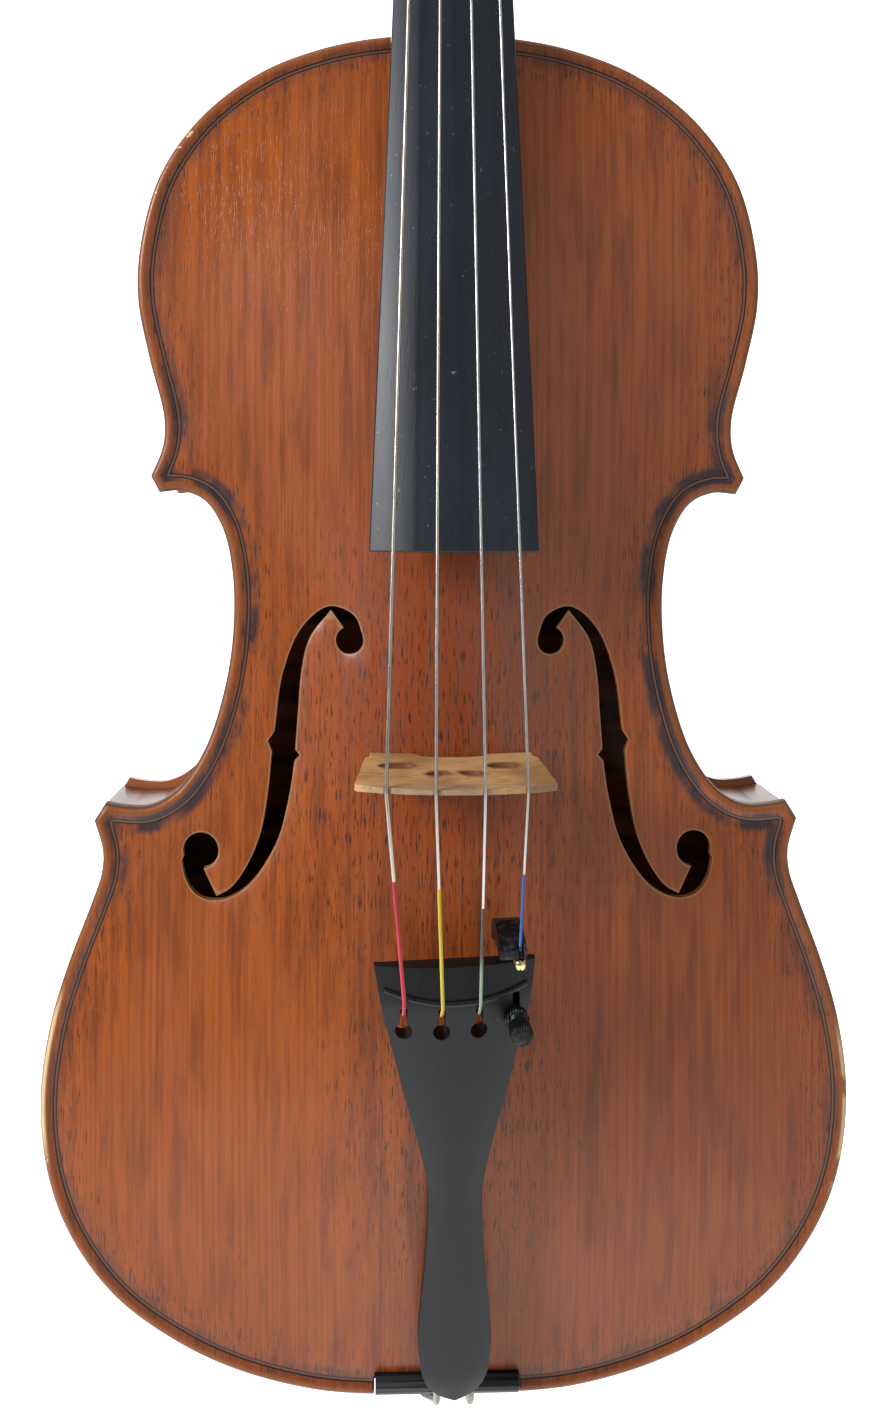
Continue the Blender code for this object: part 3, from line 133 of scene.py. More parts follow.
# 1 inside an ellipse about a place on the plate, falling to 0 at its edge and a soft share beyond
def patch(material, x, z, centre, half, soft=0.5):
    a = calc(material, "DIVIDE", calc(material, "SUBTRACT", x, centre[0]), half[0])
    b = calc(material, "DIVIDE", calc(material, "SUBTRACT", z, centre[1]), half[1])
    squares = calc(material, "ADD", calc(material, "MULTIPLY", a, a), calc(material, "MULTIPLY", b, b))
    away = calc(material, "SQRT", squares)
    return ramp(material, away, 1 + soft, 1 - soft)


def bumped(material, height, millimetres, strength=1.0):
    inputs = {"Height": height, "Strength": strength, "Distance": millimetres / 1000}
    return addNode(material, "Bump", inputs).outputs[0]


def attribute(material, name):
    return addNode(material, "Attribute", attribute_name=name).outputs["Fac"]


# Materials

belly = {
    "warm": "#A44F0E", "cool": "#964C20", "dark": "#4E200C", "deep": "#7A2C0C", "pore": "#2B1613",
    "grime": "#1B1E2A",
    "edge": "#8E5228", "bare": "#DDBE8E", "cut": "#9C6E48", "purfling": "#15131A", "purflingCore": "#6E4A34",
    "grainPerMetre": 1050.0, "grainDepth": 0.03,
}


# Spruce, quarter sawn, scraped and varnished in reddish oil, then played for years: even upright
# grain under a deep gloss, dark pores and grime where hands and bow don't polish it
def varnishedSpruce(look):
    m = newMaterial("varnishedSpruce")
    x, _, z = bodyPlace(m)
    rim, hole = attribute(m, "rimDistance"), attribute(m, "holeDistance")
    grain = noise(m, (look["grainPerMetre"], 0.0, 5.0), 2.0, 0.55)
    cloud = noise(m, (17.0, 17.0, 9.0), 3.0, 0.55)
    fine = noise(m, (260.0, 40.0, 30.0), 3.0, 0.6)
    # painted light: the left half warmer and the right half cooler and darker, as the light falls from the left;
    # the cool cloud patches are random tone
    side = ramp(m, x, -95.0, 85.0)
    clouds = calc(m, "MULTIPLY", ramp(m, cloud, 0.38, 0.64), 0.42)
    tone = calc(m, "ADD", calc(m, "MULTIPLY", side, 0.62), clouds)
    base = blend(m, calc(m, "MINIMUM", tone, 1.0), colour(look["warm"]), colour(look["cool"]))
    base = blend(m, calc(m, "MULTIPLY", ramp(m, fine, 0.40, 0.72), 0.5), base, colour(look["dark"]))
    base = blend(m, calc(m, "MULTIPLY", ramp(m, grain, 0.40, 0.66), 0.30), base, colour(look["dark"]))
    middle = patch(m, x, z, (-8.0, 215.0), (30.0, 52.0), 0.7)
    base = blend(m, calc(m, "MULTIPLY", middle, 0.55), base, colour(look["deep"]))
    # dark pores, thickest between the sound holes, by the bridge and along the waist
    pores = ramp(m, noise(m, (1900.0, 0.0, 170.0), 2.0, 0.6), 0.56, 0.63)
    where = calc(m, "MAXIMUM", patch(m, x, z, (-6.0, 190.0), (52.0, 72.0), 0.7),
                 patch(m, x, z, (0.0, 90.0), (34.0, 60.0), 0.7))
    where = calc(m, "MAXIMUM", where, calc(m, "MULTIPLY", ramp(m, rim, 22.0, 6.0), 0.8))
    where = calc(m, "MAXIMUM", where, calc(m, "MULTIPLY", ramp(m, cloud, 0.56, 0.72), 0.4))
    base = blend(m, calc(m, "MULTIPLY", calc(m, "MULTIPLY", pores, where), 0.95), base, colour(look["pore"]))
    # blue-black grime in the channel, thicker in the waist and the corners
    waist = band(m, z, 160.0, 285.0, 25.0)
    reach = calc(m, "ADD", calc(m, "MULTIPLY", waist, 0.55), 0.35)
    smear = ramp(m, noise(m, (90.0, 90.0, 60.0), 3.0, 0.6), 0.36, 0.60)
    grime = calc(m, "MULTIPLY", calc(m, "MULTIPLY", band(m, rim, 3.2, 6.4, 2.2), smear), reach)
    base = blend(m, grime, base, colour(look["grime"]))
    # worn edge bead: paler varnish, bare wood in places, and a thin dark line outside
    bead = ramp(m, rim, 3.0, 2.2)
    base = blend(m, calc(m, "MULTIPLY", bead, 0.55), base, colour(look["edge"]))
    worn = calc(m, "MAXIMUM", patch(m, x, z, (-116.0, 96.0), (12.0, 22.0), 0.3),
                patch(m, x, z, (116.0, 84.0), (12.0, 22.0), 0.3))
    chips = ramp(m, noise(m, (70.0, 70.0, 110.0), 4.0, 0.65), 0.68, 0.71)
    bare = calc(m, "MULTIPLY", calc(m, "MAXIMUM", calc(m, "MULTIPLY", worn, ramp(
        m, noise(m, (45.0, 45.0, 60.0), 4.0, 0.6), 0.40, 0.47)), chips), ramp(m, rim, 2.1, 1.2))
    base = blend(m, bare, base, colour(look["bare"]))
    base = blend(m, calc(m, "MULTIPLY", ramp(m, rim, 0.9, 0.2), 0.85), base, colour(look["pore"]))
    # the purfling: two dyed strips with a paler one between
    inlay = band(m, rim, 3.75, 5.0, 0.06)
    core = band(m, rim, 4.18, 4.62, 0.08)
    base = blend(m, inlay, base, blend(m, core, colour(look["purfling"]), colour(look["purflingCore"])))
    base = blend(m, calc(m, "MULTIPLY", ramp(m, hole, 0.7, 0.25), 0.75), base, colour(look["cut"]))
    # rosin dust and bow wear across the strings' path, and dirt round the old bridge's foot
    rosin = calc(m, "MULTIPLY", patch(m, x, z, (0.0, 215.0), (44.0, 34.0), 0.5), ramp(m, fine, 0.35, 0.7))
    base = blend(m, calc(m, "MULTIPLY", rosin, 0.08), base, colour("#B79A86"))
    inner = attribute(m, "inner")
    base = blend(m, inner, base, colour("#8A6A45"))
    rough = calc(m, "ADD", calc(m, "MULTIPLY", ramp(m, cloud, 0.35, 0.7), 0.18), 0.30)
    rough = calc(m, "ADD", rough, calc(m, "MULTIPLY", inner, 0.3))
    relief = calc(m, "SUBTRACT", calc(m, "MULTIPLY", grain, 0.7), pores)
    shader = addNode(m, "BsdfPrincipled", {
        "Base Color": base, "Roughness": rough, "Specular IOR Level": 0.4,
        "Coat Weight": calc(m, "MULTIPLY", ramp(m, rim, 1.0, 4.0), 0.15), "Coat Roughness": 0.25,
        "Normal": bumped(m, relief, look["grainDepth"], 0.6)})
    return finishMaterial(m, shader)


maple = {"light": "#9C4F2B", "dark": "#5A2819"}


# Maple with a curled figure, planed and varnished in reddish oil: bands that cross the grain
# and catch the light by turns. flame gives the bands per metre on each axis.
def flamedMaple(name, look, flame):
    m = newMaterial(name)
    bands = noise(m, flame, 2.0, 0.4, 0.6)
    grain = noise(m, (500.0, 500.0, 25.0), 3.0, 0.6)
    cloud = noise(m, (14.0, 14.0, 14.0), 3.0, 0.5)
    base = blend(m, ramp(m, bands, 0.34, 0.62), colour(look["dark"]), colour(look["light"]))
    base = blend(m, calc(m, "MULTIPLY", ramp(m, grain, 0.5, 0.75), 0.4), base, colour("#3A1A12"))
    base = blend(m, calc(m, "MULTIPLY", ramp(m, cloud, 0.45, 0.75), 0.35), base, colour("#4A2118"))
    rough = calc(m, "ADD", calc(m, "MULTIPLY", cloud, 0.2), 0.22)
    shader = addNode(m, "BsdfPrincipled", {"Base Color": base, "Roughness": rough, "Coat Weight": 0.4,
                                           "Coat Roughness": 0.18, "Normal": bumped(m, grain, 0.02, 0.5)})
    return finishMaterial(m, shader)


# The varnished back adds its edge bead, channel grime and purfling to the flamed maple
def backMaple(look):
    m = newMaterial("varnishedBack")
    rim = attribute(m, "rimDistance")
    bands = noise(m, (14.0, 14.0, 150.0), 2.0, 0.4, 0.6)
    grain = noise(m, (600.0, 100.0, 22.0), 3.0, 0.6)
    base = blend(m, ramp(m, bands, 0.34, 0.62), colour(look["dark"]), colour(look["light"]))
    base = blend(m, calc(m, "MULTIPLY", ramp(m, grain, 0.5, 0.75), 0.4), base, colour("#3A1A12"))
    smear = ramp(m, noise(m, (80.0, 80.0, 60.0), 3.0), 0.36, 0.6)
    grime = calc(m, "MULTIPLY", band(m, rim, 3.4, 6.2, 2.0), smear)
    base = blend(m, calc(m, "MULTIPLY", grime, 0.7), base, colour("#1C1718"))
    base = blend(m, calc(m, "MULTIPLY", ramp(m, rim, 3.0, 2.2), 0.45), base, colour("#B5794F"))
    core = band(m, rim, 4.18, 4.62, 0.08)
    base = blend(m, band(m, rim, 3.75, 5.0, 0.06), base,
                 blend(m, core, colour(belly["purfling"]), colour(belly["purflingCore"])))
    shader = addNode(m, "BsdfPrincipled", {"Base Color": base, "Roughness": 0.3, "Coat Weight": 0.4,
                                           "Coat Roughness": 0.2, "Normal": bumped(m, grain, 0.02, 0.5)})
    return finishMaterial(m, shader)


# Spruce split and planed, never varnished: pale yellow-brown with straight close grain
def bareSpruce():
    m = newMaterial("bareSpruce")
    grain = noise(m, (800.0, 800.0, 8.0), 2.0, 0.5)
    base = blend(m, ramp(m, grain, 0.45, 0.65), colour("#D2B07C"), colour("#A37C4B"))
    shader = addNode(m, "BsdfPrincipled", {
        "Base Color": base, "Roughness": 0.75, "Normal": bumped(m, grain, 0.04)})
    return finishMaterial(m, shader)


# Maple for a bridge, knife cut and scraped: pale tan with short brown flecks, greyed by rosin
# along its top edge
def bridgeMaple():
    m = newMaterial("scrapedMaple")
    _, y, _ = bodyPlace(m)
    fleck = ramp(m, noise(m, (120.0, 900.0, 900.0), 2.0, 0.5), 0.58, 0.68)
    tone = noise(m, (60.0, 60.0, 60.0), 3.0, 0.5)
    base = blend(m, ramp(m, tone, 0.35, 0.7), colour("#C79B68"), colour("#9E7448"))
    base = blend(m, calc(m, "MULTIPLY", fleck, 0.5), base, colour("#6B4426"))
    dust = calc(m, "MULTIPLY", ramp(m, y, -46.0, -57.0), ramp(m, tone, 0.3, 0.6))
    base = blend(m, calc(m, "MULTIPLY", dust, 0.55), base, colour("#8F8578"))
    # painted shade: the cut-outs' walls and a thin ring round them darkened
    base = blend(m, attribute(m, "cutOutShade"), base, colour("#6A4022"))
    shader = addNode(m, "BsdfPrincipled", {
        "Base Color": base, "Roughness": 0.55, "Normal": bumped(m, fleck, 0.03)})
    return finishMaterial(m, shader)


# Ebony, scraped and rubbed with oil: near black with a cool satin shine, and fine long pores
# with a little pale dust in them
def oiledEbony(name, dark, light, roughness, dust):
    m = newMaterial(name)
    pores = ramp(m, noise(m, (1100.0, 1100.0, 60.0), 2.0, 0.5), 0.60, 0.68)
    tone = noise(m, (25.0, 25.0, 12.0), 3.0, 0.5)
    specks = ramp(m, noise(m, (1400.0, 1400.0, 700.0), 1.0, 0.5), 0.76, 0.79)
    base = blend(m, ramp(m, tone, 0.35, 0.65), colour(dark), colour(light))
    base = blend(m, calc(m, "MULTIPLY", pores, 0.5), base, colour("#0C0B0C"))
    base = blend(m, calc(m, "MULTIPLY", specks, dust), base, colour("#A9A59A"))
    rough = calc(m, "ADD", calc(m, "MULTIPLY", tone, 0.2), roughness)
    relief = calc(m, "MULTIPLY", pores, -1.0)
    shader = addNode(m, "BsdfPrincipled", {"Base Color": base, "Roughness": rough, "Specular IOR Level": 0.4,
                                           "Normal": bumped(m, relief, 0.02, 0.6)})
    return finishMaterial(m, shader)


silks = {
    "c": {"top": 162.9, "upper": "#D41C3C", "lower": "#E8284A", "tint": "#B9B2A6"},
    "g": {"top": 161.3, "upper": "#E8CC18", "lower": "#F2DC30", "tint": "#B8B1A5"},
    "d": {"top": 155.7, "upper": "#3C4744", "lower": "#A9C2A8", "tint": "#C0C0BE"},
    "a": {"top": 164.5, "upper": "#1F6AC8", "lower": "#2F86E0", "tint": "#C4C4C4"},
}


# Flat steel ribbon wound close and polished round a core: bright, with short streaks along it.
# Below the top of its silk the string is lapped in dyed thread, laid on at a slant.
def woundString(name, look):
    m = newMaterial("woundString_" + name)
    x, _, z = bodyPlace(m)
    streak = noise(m, (900.0, 900.0, 25.0), 2.0, 0.5)
    tarnish = noise(m, (60.0, 60.0, 18.0), 3.0, 0.5)
    dull = calc(m, "MULTIPLY", ramp(m, tarnish, 0.4, 0.75), 0.35)
    metal = blend(m, dull, colour(look["tint"]), colour("#8A8175"))
    steel = addNode(m, "BsdfPrincipled", {"Base Color": metal, "Metallic": 1.0, "Roughness": calc(
        m, "ADD", calc(m, "MULTIPLY", streak, 0.25), 0.18)})
    slant = calc(m, "SINE", calc(m, "MULTIPLY", calc(m, "ADD", z, calc(m, "MULTIPLY", x, 1.5)), 9.0))
    thread = ramp(m, slant, -0.9, 0.5)
    further = ramp(m, z, look["top"] - 12.0, look["top"] - 20.0)
    dye = blend(m, further, colour(look["upper"]), colour(look["lower"]))
    # painted shade: the dye darkened in the grooves between the thread's turns
    dye = blend(m, thread, blend(m, 0.35, dye, colour("#241C1A")), dye)
    silk = addNode(m, "BsdfPrincipled", {"Base Color": dye, "Roughness": 0.6, "Sheen Weight": 0.3,
                                         "Normal": bumped(m, thread, 0.08)})
    lapped = ramp(m, z, look["top"] + 0.2, look["top"] - 0.2)
    both = addNode(m, "MixShader", {0: lapped, 1: steel.outputs[0], 2: silk.outputs[0]})
    return finishMaterial(m, both)


# Metal turned or drawn bright: fine lines round it break up the shine
def brightMetal(name, light, dull, roughness):
    m = newMaterial(name)
    lines = noise(m, (300.0, 300.0, 3000.0), 2.0, 0.5)
    tone = noise(m, (400.0, 400.0, 400.0), 3.0, 0.5)
    base = blend(m, ramp(m, tone, 0.4, 0.7), colour(light), colour(dull))
    rough = calc(m, "ADD", calc(m, "MULTIPLY", lines, 0.2), roughness)
    shader = addNode(m, "BsdfPrincipled", {"Base Color": base, "Metallic": 1.0, "Roughness": rough})
    return finishMaterial(m, shader)


# Brass plated and chemically blacked: dark grey metal, rubbed a little brighter at random
def blackedMetal(name, knurl):
    m = newMaterial(name)
    tone = noise(m, (500.0, 500.0, 500.0), 3.0, 0.6)
    base = blend(m, ramp(m, tone, 0.45, 0.75), colour("#17191C"), colour("#4A4E52"))
    x, _, _ = bodyPlace(m)
    ridges = calc(m, "SINE", calc(m, "MULTIPLY", x, knurl))
    shader = addNode(m, "BsdfPrincipled", {"Base Color": base, "Metallic": 0.7, "Roughness": 0.38,
                                           "Normal": bumped(m, ridges, 0.12 if knurl else 0.0)})
    return finishMaterial(m, shader)


# Nylon tail cord, drawn and dyed grey-white: smooth, slightly see-through looking, with light wear
def nylonCord():
    m = newMaterial("nylonCord")
    wear = noise(m, (600.0, 600.0, 600.0), 3.0, 0.5)
    base = blend(m, ramp(m, wear, 0.4, 0.7), colour("#B9B3A4"), colour("#8F897C"))
    shader = addNode(m, "BsdfPrincipled", {"Base Color": base, "Roughness": 0.42, "Subsurface Weight": 0.0,
                                           "Normal": bumped(m, wear, 0.03)})
    return finishMaterial(m, shader)


spruceFinish = varnishedSpruce(belly)
backFinish = backMaple(maple)
ribFinish = flamedMaple("varnishedRib", maple, (170.0, 12.0, 170.0))
neckFinish = flamedMaple("varnishedNeck", maple, (40.0, 40.0, 170.0))
innerFinish = bareSpruce()
bridgeFinish = bridgeMaple()
boardFinish = oiledEbony("oiledEbonyBoard", "#10161F", "#1A222E", 0.33, 0.5)
tailFinish = oiledEbony("oiledEbonyTail", "#030609", "#070C11", 0.42, 0.1)
ebonyFinish = oiledEbony("oiledEbony", "#0E0E10", "#18181B", 0.26, 0.1)
stringFinish = {name: woundString(name, look) for name, look in silks.items()}
brassFinish = brightMetal("turnedBrass", "#E4CFA0", "#B39A68", 0.14)
steelFinish = brightMetal("drawnSteel", "#D0D0CC", "#98989A", 0.2)
blackFinish = blackedMetal("blackedMetal", 0.0)
knurledFinish = blackedMetal("blackedKnurl", 9.0)
cordFinish = nylonCord()

slotFinish = {
    "varnish": backFinish, "maple": ribFinish, "inner_spruce": innerFinish, "bridge_maple": bridgeFinish,
    "ebony": ebonyFinish, "string_steel": steelFinish, "ball_brass": brassFinish, "tuner_black": blackFinish,
    "tail_gut": cordFinish,
}
for subpart in frame["record"]["subparts"]:
    mesh = nodes[subpart["node"]].data
    mesh.materials.clear()
    mesh.materials.append(slotFinish[subpart["material_slot"]])
print("materials ready")


# Shapes: curves in the plane

# A curve through its points, with a point about every step: each span is a cubic whose end
# slopes come from the neighbouring points, weighed by the square roots of the distances
def smoothCurve(points, step, before=None, after=None):
    path = [np.array(point, float) for point in points]
    before = 2 * path[0] - path[1] if before is None else np.array(before, float)
    after = 2 * path[-1] - path[-2] if after is None else np.array(after, float)
    path = [before] + path + [after]
    result = []
    for index in range(1, len(path) - 2):
        p0, p1, p2, p3 = path[index - 1:index + 3]
        d0, d1, d2 = (math.sqrt(np.linalg.norm(v)) for v in (p1 - p0, p2 - p1, p3 - p2))
        leave = ((p1 - p0) / d0 - (p2 - p0) / (d0 + d1) + (p2 - p1) / d1) * d1
        arrive = ((p2 - p1) / d1 - (p3 - p1) / (d1 + d2) + (p3 - p2) / d2) * d1
        count = max(1, round(float(np.linalg.norm(p2 - p1)) / step))
        t = np.arange(count)[:, None] / count
        result.append((2 * t**3 - 3 * t**2 + 1) * p1 + (t**3 - 2 * t**2 + t) * leave
                      + (3 * t**2 - 2 * t**3) * p2 + (t**3 - t**2) * arrive)
    result.append(path[-2][None])
    return np.vstack(result)


def arcPoints(centre, radius, start, end, count):
    angle = np.radians(np.linspace(start, end, count))
    return np.array(centre) + radius * np.column_stack((np.cos(angle), np.sin(angle)))


# The curve moved sideways to its right hand, each point along the normal of its run
def offsetPath(path, distance):
    run = np.gradient(path, axis=0)
    side = np.column_stack((run[:, 1], -run[:, 0]))
    return path + side / np.linalg.norm(side, axis=1)[:, None] * distance


# Cuts two paths where the first one's end, run on a little, crosses the second one's start
def mitre(first, second, reach=2.0):
    ahead, back = first[-1] - first[-2], second[0] - second[1]
    first = np.vstack((first[:-1], first[-1] + ahead / np.linalg.norm(ahead) * reach))
    second = np.vstack((second[0] + back / np.linalg.norm(back) * reach, second[1:]))
    p, r = first[:-1][::-1, None], np.diff(first, axis=0)[::-1, None]
    q, s = second[:-1][None], np.diff(second, axis=0)[None]
    turn = r[..., 0] * s[..., 1] - r[..., 1] * s[..., 0]
    turn = np.where(np.abs(turn) < 1e-9, 1e-9, turn)
    t = ((q - p)[..., 0] * s[..., 1] - (q - p)[..., 1] * s[..., 0]) / turn
    u = ((q - p)[..., 0] * r[..., 1] - (q - p)[..., 1] * r[..., 0]) / turn
    hits = np.argwhere((t >= 0) & (t <= 1) & (u >= 0) & (u <= 1))
    if len(hits) == 0:
        return first, second
    i, j = hits[0]
    meet = (p[i, 0] + t[i, j] * r[i, 0])[None]
    return np.vstack((first[:len(first) - 1 - i], meet)), np.vstack((meet, second[j + 1:]))


# Half of the body's outline as (half width, height), from the neck down to the end button
outline = {
    "upper": ((0, 401.0), (20.7, 400.2), (38.4, 396.6), (56.1, 389.4), (73.2, 376.3), (85.5, 358.6), (91.2, 337.0),
              (91.6, 322.0), (88.3, 305.3), (83.9, 287.6), (84.3, 279.2), (87.7, 270.6)),
    "middle": ((85.2, 265.9), (78.8, 266.3), (71.8, 263.3), (66.6, 255.1), (63.9, 243.0), (63.4, 228.0),
               (65.6, 210.0), (71.9, 190.0), (79.9, 178.4), (87.6, 174.0), (95.3, 173.9), (100.5, 174.9)),
    "lower": ((103.8, 169.6), (101.3, 160.5), (101.7, 154.0), (104.6, 145.3), (111.2, 127.8), (116.4, 110.1),
              (119.2, 88.0), (116.9, 65.7), (110.2, 47.9), (97.2, 30.2), (79.0, 16.6), (61.1, 8.0), (38.5, 1.9),
              (20.0, 0.2), (0, 0)),
    "bluntCorner": 2.65, "length": 401.0, "saddleHalf": 21.3, "saddleTop": 7.2, "neckHalf": 17.8, "neckZ": 398.3,
}


def halfOutline(inset, step=2.0):
    upper = smoothCurve(outline["upper"], step, before=(-20.7, 400.2))
    middle = smoothCurve(outline["middle"], step)
    lower = smoothCurve(outline["lower"], step, after=(-20.0, 0.2))
    ends = [np.array((upper[-1], middle[0])), np.array((middle[-1], lower[0]))]
    if inset:
        upper, middle, lower = (offsetPath(path, inset) for path in (upper, middle, lower))
        upper[0, 0] = lower[-1, 0] = 0
        ends = [offsetPath(path, inset) for path in ends]
        if inset < outline["bluntCorner"]:
            upper, ends[0] = mitre(upper, ends[0])
            ends[0], middle = mitre(ends[0], middle)
            middle, ends[1] = mitre(middle, ends[1])
            ends[1], lower = mitre(ends[1], lower)
        else:
            upper, middle = mitre(upper, middle)
            middle, lower = mitre(middle, lower)
    path = np.vstack((upper, middle, lower))
    keep = np.r_[True, np.linalg.norm(np.diff(path, axis=0), axis=1) > 0.02]
    return path[keep]


def closedLoop(half):
    mirror = (half * (-1, 1))[::-1]
    return np.vstack((half, mirror[1:-1]))


# Even-odd rule: a point is inside when a ray to its right crosses the loop an odd number of times
def within(points, loop):
    end = np.roll(loop, -1, axis=0)
    rise = end[:, 1] - loop[:, 1]
    rise = np.where(rise == 0, 1e-12, rise)
    inside = []
    for part in np.array_split(points, len(points) // 3000 + 1):
        x, z = part[:, 0:1], part[:, 1:2]
        spans = (loop[:, 1] > z) != (end[:, 1] > z)
        crossing = loop[:, 0] + (z - loop[:, 1]) / rise * (end[:, 0] - loop[:, 0])
        inside.append((spans & (x < crossing)).sum(axis=1) % 2 == 1)
    return np.concatenate(inside)


# Shortest distance from each point to a closed loop's segments
def distanceTo(points, loop):
    run = np.roll(loop, -1, axis=0) - loop
    length = np.maximum((run**2).sum(axis=1), 1e-12)
    away = []
    for part in np.array_split(points, len(points) // 3000 + 1):
        rel = part[:, None] - loop[None]
        t = np.clip((rel * run).sum(axis=2) / length, 0, 1)
        away.append(np.sqrt(((rel - t[..., None] * run) ** 2).sum(axis=2).min(axis=1)))
    return np.concatenate(away)


# How far a point lies inside a loop, rounded off in the middle: the harmonic mean of its
# distance to the loop in every direction
def softDepth(points, loop):
    depth = []
    for part in np.array_split(points, len(points) // 3000 + 1):
        toStart = loop[None] - part[:, None]
        toEnd = np.roll(loop, -1, axis=0)[None] - part[:, None]
        near = np.maximum(np.linalg.norm(toStart, axis=2), 1e-6)
        far = np.maximum(np.linalg.norm(toEnd, axis=2), 1e-6)
        cross = toStart[..., 0] * toEnd[..., 1] - toStart[..., 1] * toEnd[..., 0]
        halfAngle = cross / (near * far + (toStart * toEnd).sum(axis=2) + 1e-9)
        depth.append(2 / np.maximum(np.abs((halfAngle * (1 / near + 1 / far)).sum(axis=1)), 1e-9))
    return np.concatenate(depth)


plate = {
    "edgeThick": 4.2, "plateThick": 3.2, "ribDepth": 38.0, "bellyRise": 14.3, "backRise": 12.8, "archIn": 5.3,
    "longPower": 3.0, "pitch": 2.6,
    # height over the edge by distance from the rim: rounded edge, bead, channel, and out again
    "edge": ((0, -1.5), (0.3, -0.65), (0.8, -0.1), (1.5, 0.25), (2.4, 0.1), (3.4, -0.35), (4.5, -0.65), (5.6, -0.6),
             (8.0, -0.25), (12.0, 0.0)),
    "rings": (0.3, 0.8, 1.5, 2.4, 3.4, 3.9, 4.4, 5.0, 5.8, 7.2, 9.0, 11.5),
}
archLoop = closedLoop(halfOutline(plate["archIn"], 5.0))
centreZ = np.linspace(8, outline["length"] - 8, 90)
centreDepth = softDepth(np.column_stack((np.zeros(90), centreZ)), archLoop)
rimLoop = closedLoop(halfOutline(0))


# Arch height: a cosine across, from the purfling to the middle, under a long arch that is
# fuller than a cosine
def archHeight(points, rise):
    share = softDepth(points, archLoop) / np.interp(points[:, 1], centreZ, centreDepth)
    across = np.sqrt(1 - np.clip(share, 0, 1))
    along = np.clip(np.abs(2 * points[:, 1] / outline["length"] - 1), 0, 1) ** plate["longPower"]
    height = rise * (1 + np.cos(math.pi * along)) / 2 * (1 + np.cos(math.pi * across)) / 2
    return np.where(within(points, archLoop), height, 0)


def plateOutside(points, rise):
    rim = distanceTo(points, rimLoop)
    edge = np.array(plate["edge"])
    return plate["edgeThick"] + archHeight(points, rise) + np.interp(rim, edge[:, 0], edge[:, 1]), rim


def plateInside(points, rise):
    clear = np.clip((softDepth(points, archLoop) - 2) / 6, 0, 1)
    hollow = plate["edgeThick"] + archHeight(points, rise) - plate["plateThick"]
    return np.where(within(points, archLoop), np.maximum(hollow, 0) * clear, 0)


# Shapes: meshes

# Triangles over the region inside a loop and outside its holes, which pass through the marks,
# paths of points that each get an edge along them
def fillRegion(loop, pitch, holes=(), marks=()):
    rims = [loop, *holes]
    low, high = loop.min(axis=0), loop.max(axis=0)
    rows = np.arange(low[1] + pitch / 2, high[1], pitch * 0.866)
    columns = np.arange(low[0] + pitch / 2, high[0], pitch)
    a, b = np.meshgrid(columns, rows)
    a = a + (np.arange(len(rows)) % 2)[:, None] * pitch / 2
    inner = np.column_stack((a.ravel(), b.ravel()))

    def covers(points):
        keep = within(points, loop)
        for hole in holes:
            keep &= ~within(points, hole)
        return keep

    inner = inner[covers(inner)] if len(inner) else inner
    for rim in [*rims, *marks]:
        if len(inner):
            inner = inner[distanceTo(inner, rim) > 0.45 * pitch] if rim is loop else inner[
                np.concatenate([np.linalg.norm(part[:, None] - rim[None], axis=2).min(axis=1)
                                for part in np.array_split(inner, len(inner) // 3000 + 1)]) > 0.45 * pitch]
    edges, start = [], 0
    for rim in rims:
        edges += [(start + i, start + (i + 1) % len(rim)) for i in range(len(rim))]
        start += len(rim)
    for mark in marks:
        step = np.linalg.norm(np.diff(mark, axis=0), axis=1)
        edges += [(start + i, start + i + 1) for i in np.flatnonzero(step < 6.0)]
        start += len(mark)
    points = np.vstack([*rims, *marks, inner.reshape(-1, 2)])
    edges = [(int(p), int(q)) for p, q in edges]
    spots, _, faces, *_ = geometry.delaunay_2d_cdt(points.tolist(), edges, [], 0, 1e-5)
    spots = np.array([tuple(spot) for spot in spots])
    faces = np.array([face for face in faces if len(face) == 3])
    return spots, faces[covers(spots[faces].mean(axis=1))]


# Closes two skins over the same triangles with walls along their open edges
def sandwich(faces, count):
    sides = np.vstack((faces[:, (0, 1)], faces[:, (1, 2)], faces[:, (2, 0)]))
    key = np.sort(sides, axis=1)
    _, first, times = np.unique(key, axis=0, return_index=True, return_counts=True)
    rim = sides[first[times == 1]]
    walls = np.column_stack((rim[:, 1], rim[:, 0], rim[:, 0] + count, rim[:, 1] + count))
    return faces.tolist() + (faces[:, ::-1] + count).tolist() + walls.tolist()


# A finished piece: its faces out, smooth but for edges sharper than the angle
def addPiece(name, corners, faces, finish, slot, body, *replaced, angle=40, values=None):
    mesh = bpy.data.meshes.new(name)
    mesh.from_pydata(toFrame(corners).tolist(), [], faces)
    for key, value in (values or {}).items():
        mesh.attributes.new(key, "FLOAT", "POINT").data.foreach_set("value", np.asarray(value, float))
    shape = bmesh.new()
    shape.from_mesh(mesh)
    bmesh.ops.recalc_face_normals(shape, faces=shape.faces)
    shape.to_mesh(mesh)
    shape.free()
    return placePiece(name, mesh, finish, body, replaced, angle)


def placePiece(name, mesh, finish, body, replaced, angle):
    mesh.shade_smooth()
    mesh.set_sharp_from_angle(angle=math.radians(angle))
    mesh.materials.clear()
    mesh.materials.append(finish)
    piece = bpy.data.objects.new(name, mesh)
    bpy.context.scene.collection.objects.link(piece)
    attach(piece, body)
    if replaced:
        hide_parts(*replaced)
    return piece


# Breaks a piece's sharp edges with a small round
def breakEdges(piece, millimetres, steps=2, angle=40):
    round_ = piece.modifiers.new("brokenEdges", "BEVEL")
    round_.width = millimetres / 1000
    round_.segments = steps
    round_.limit_method = "ANGLE"
    round_.angle_limit = math.radians(angle)
    round_.harden_normals = False
    return piece


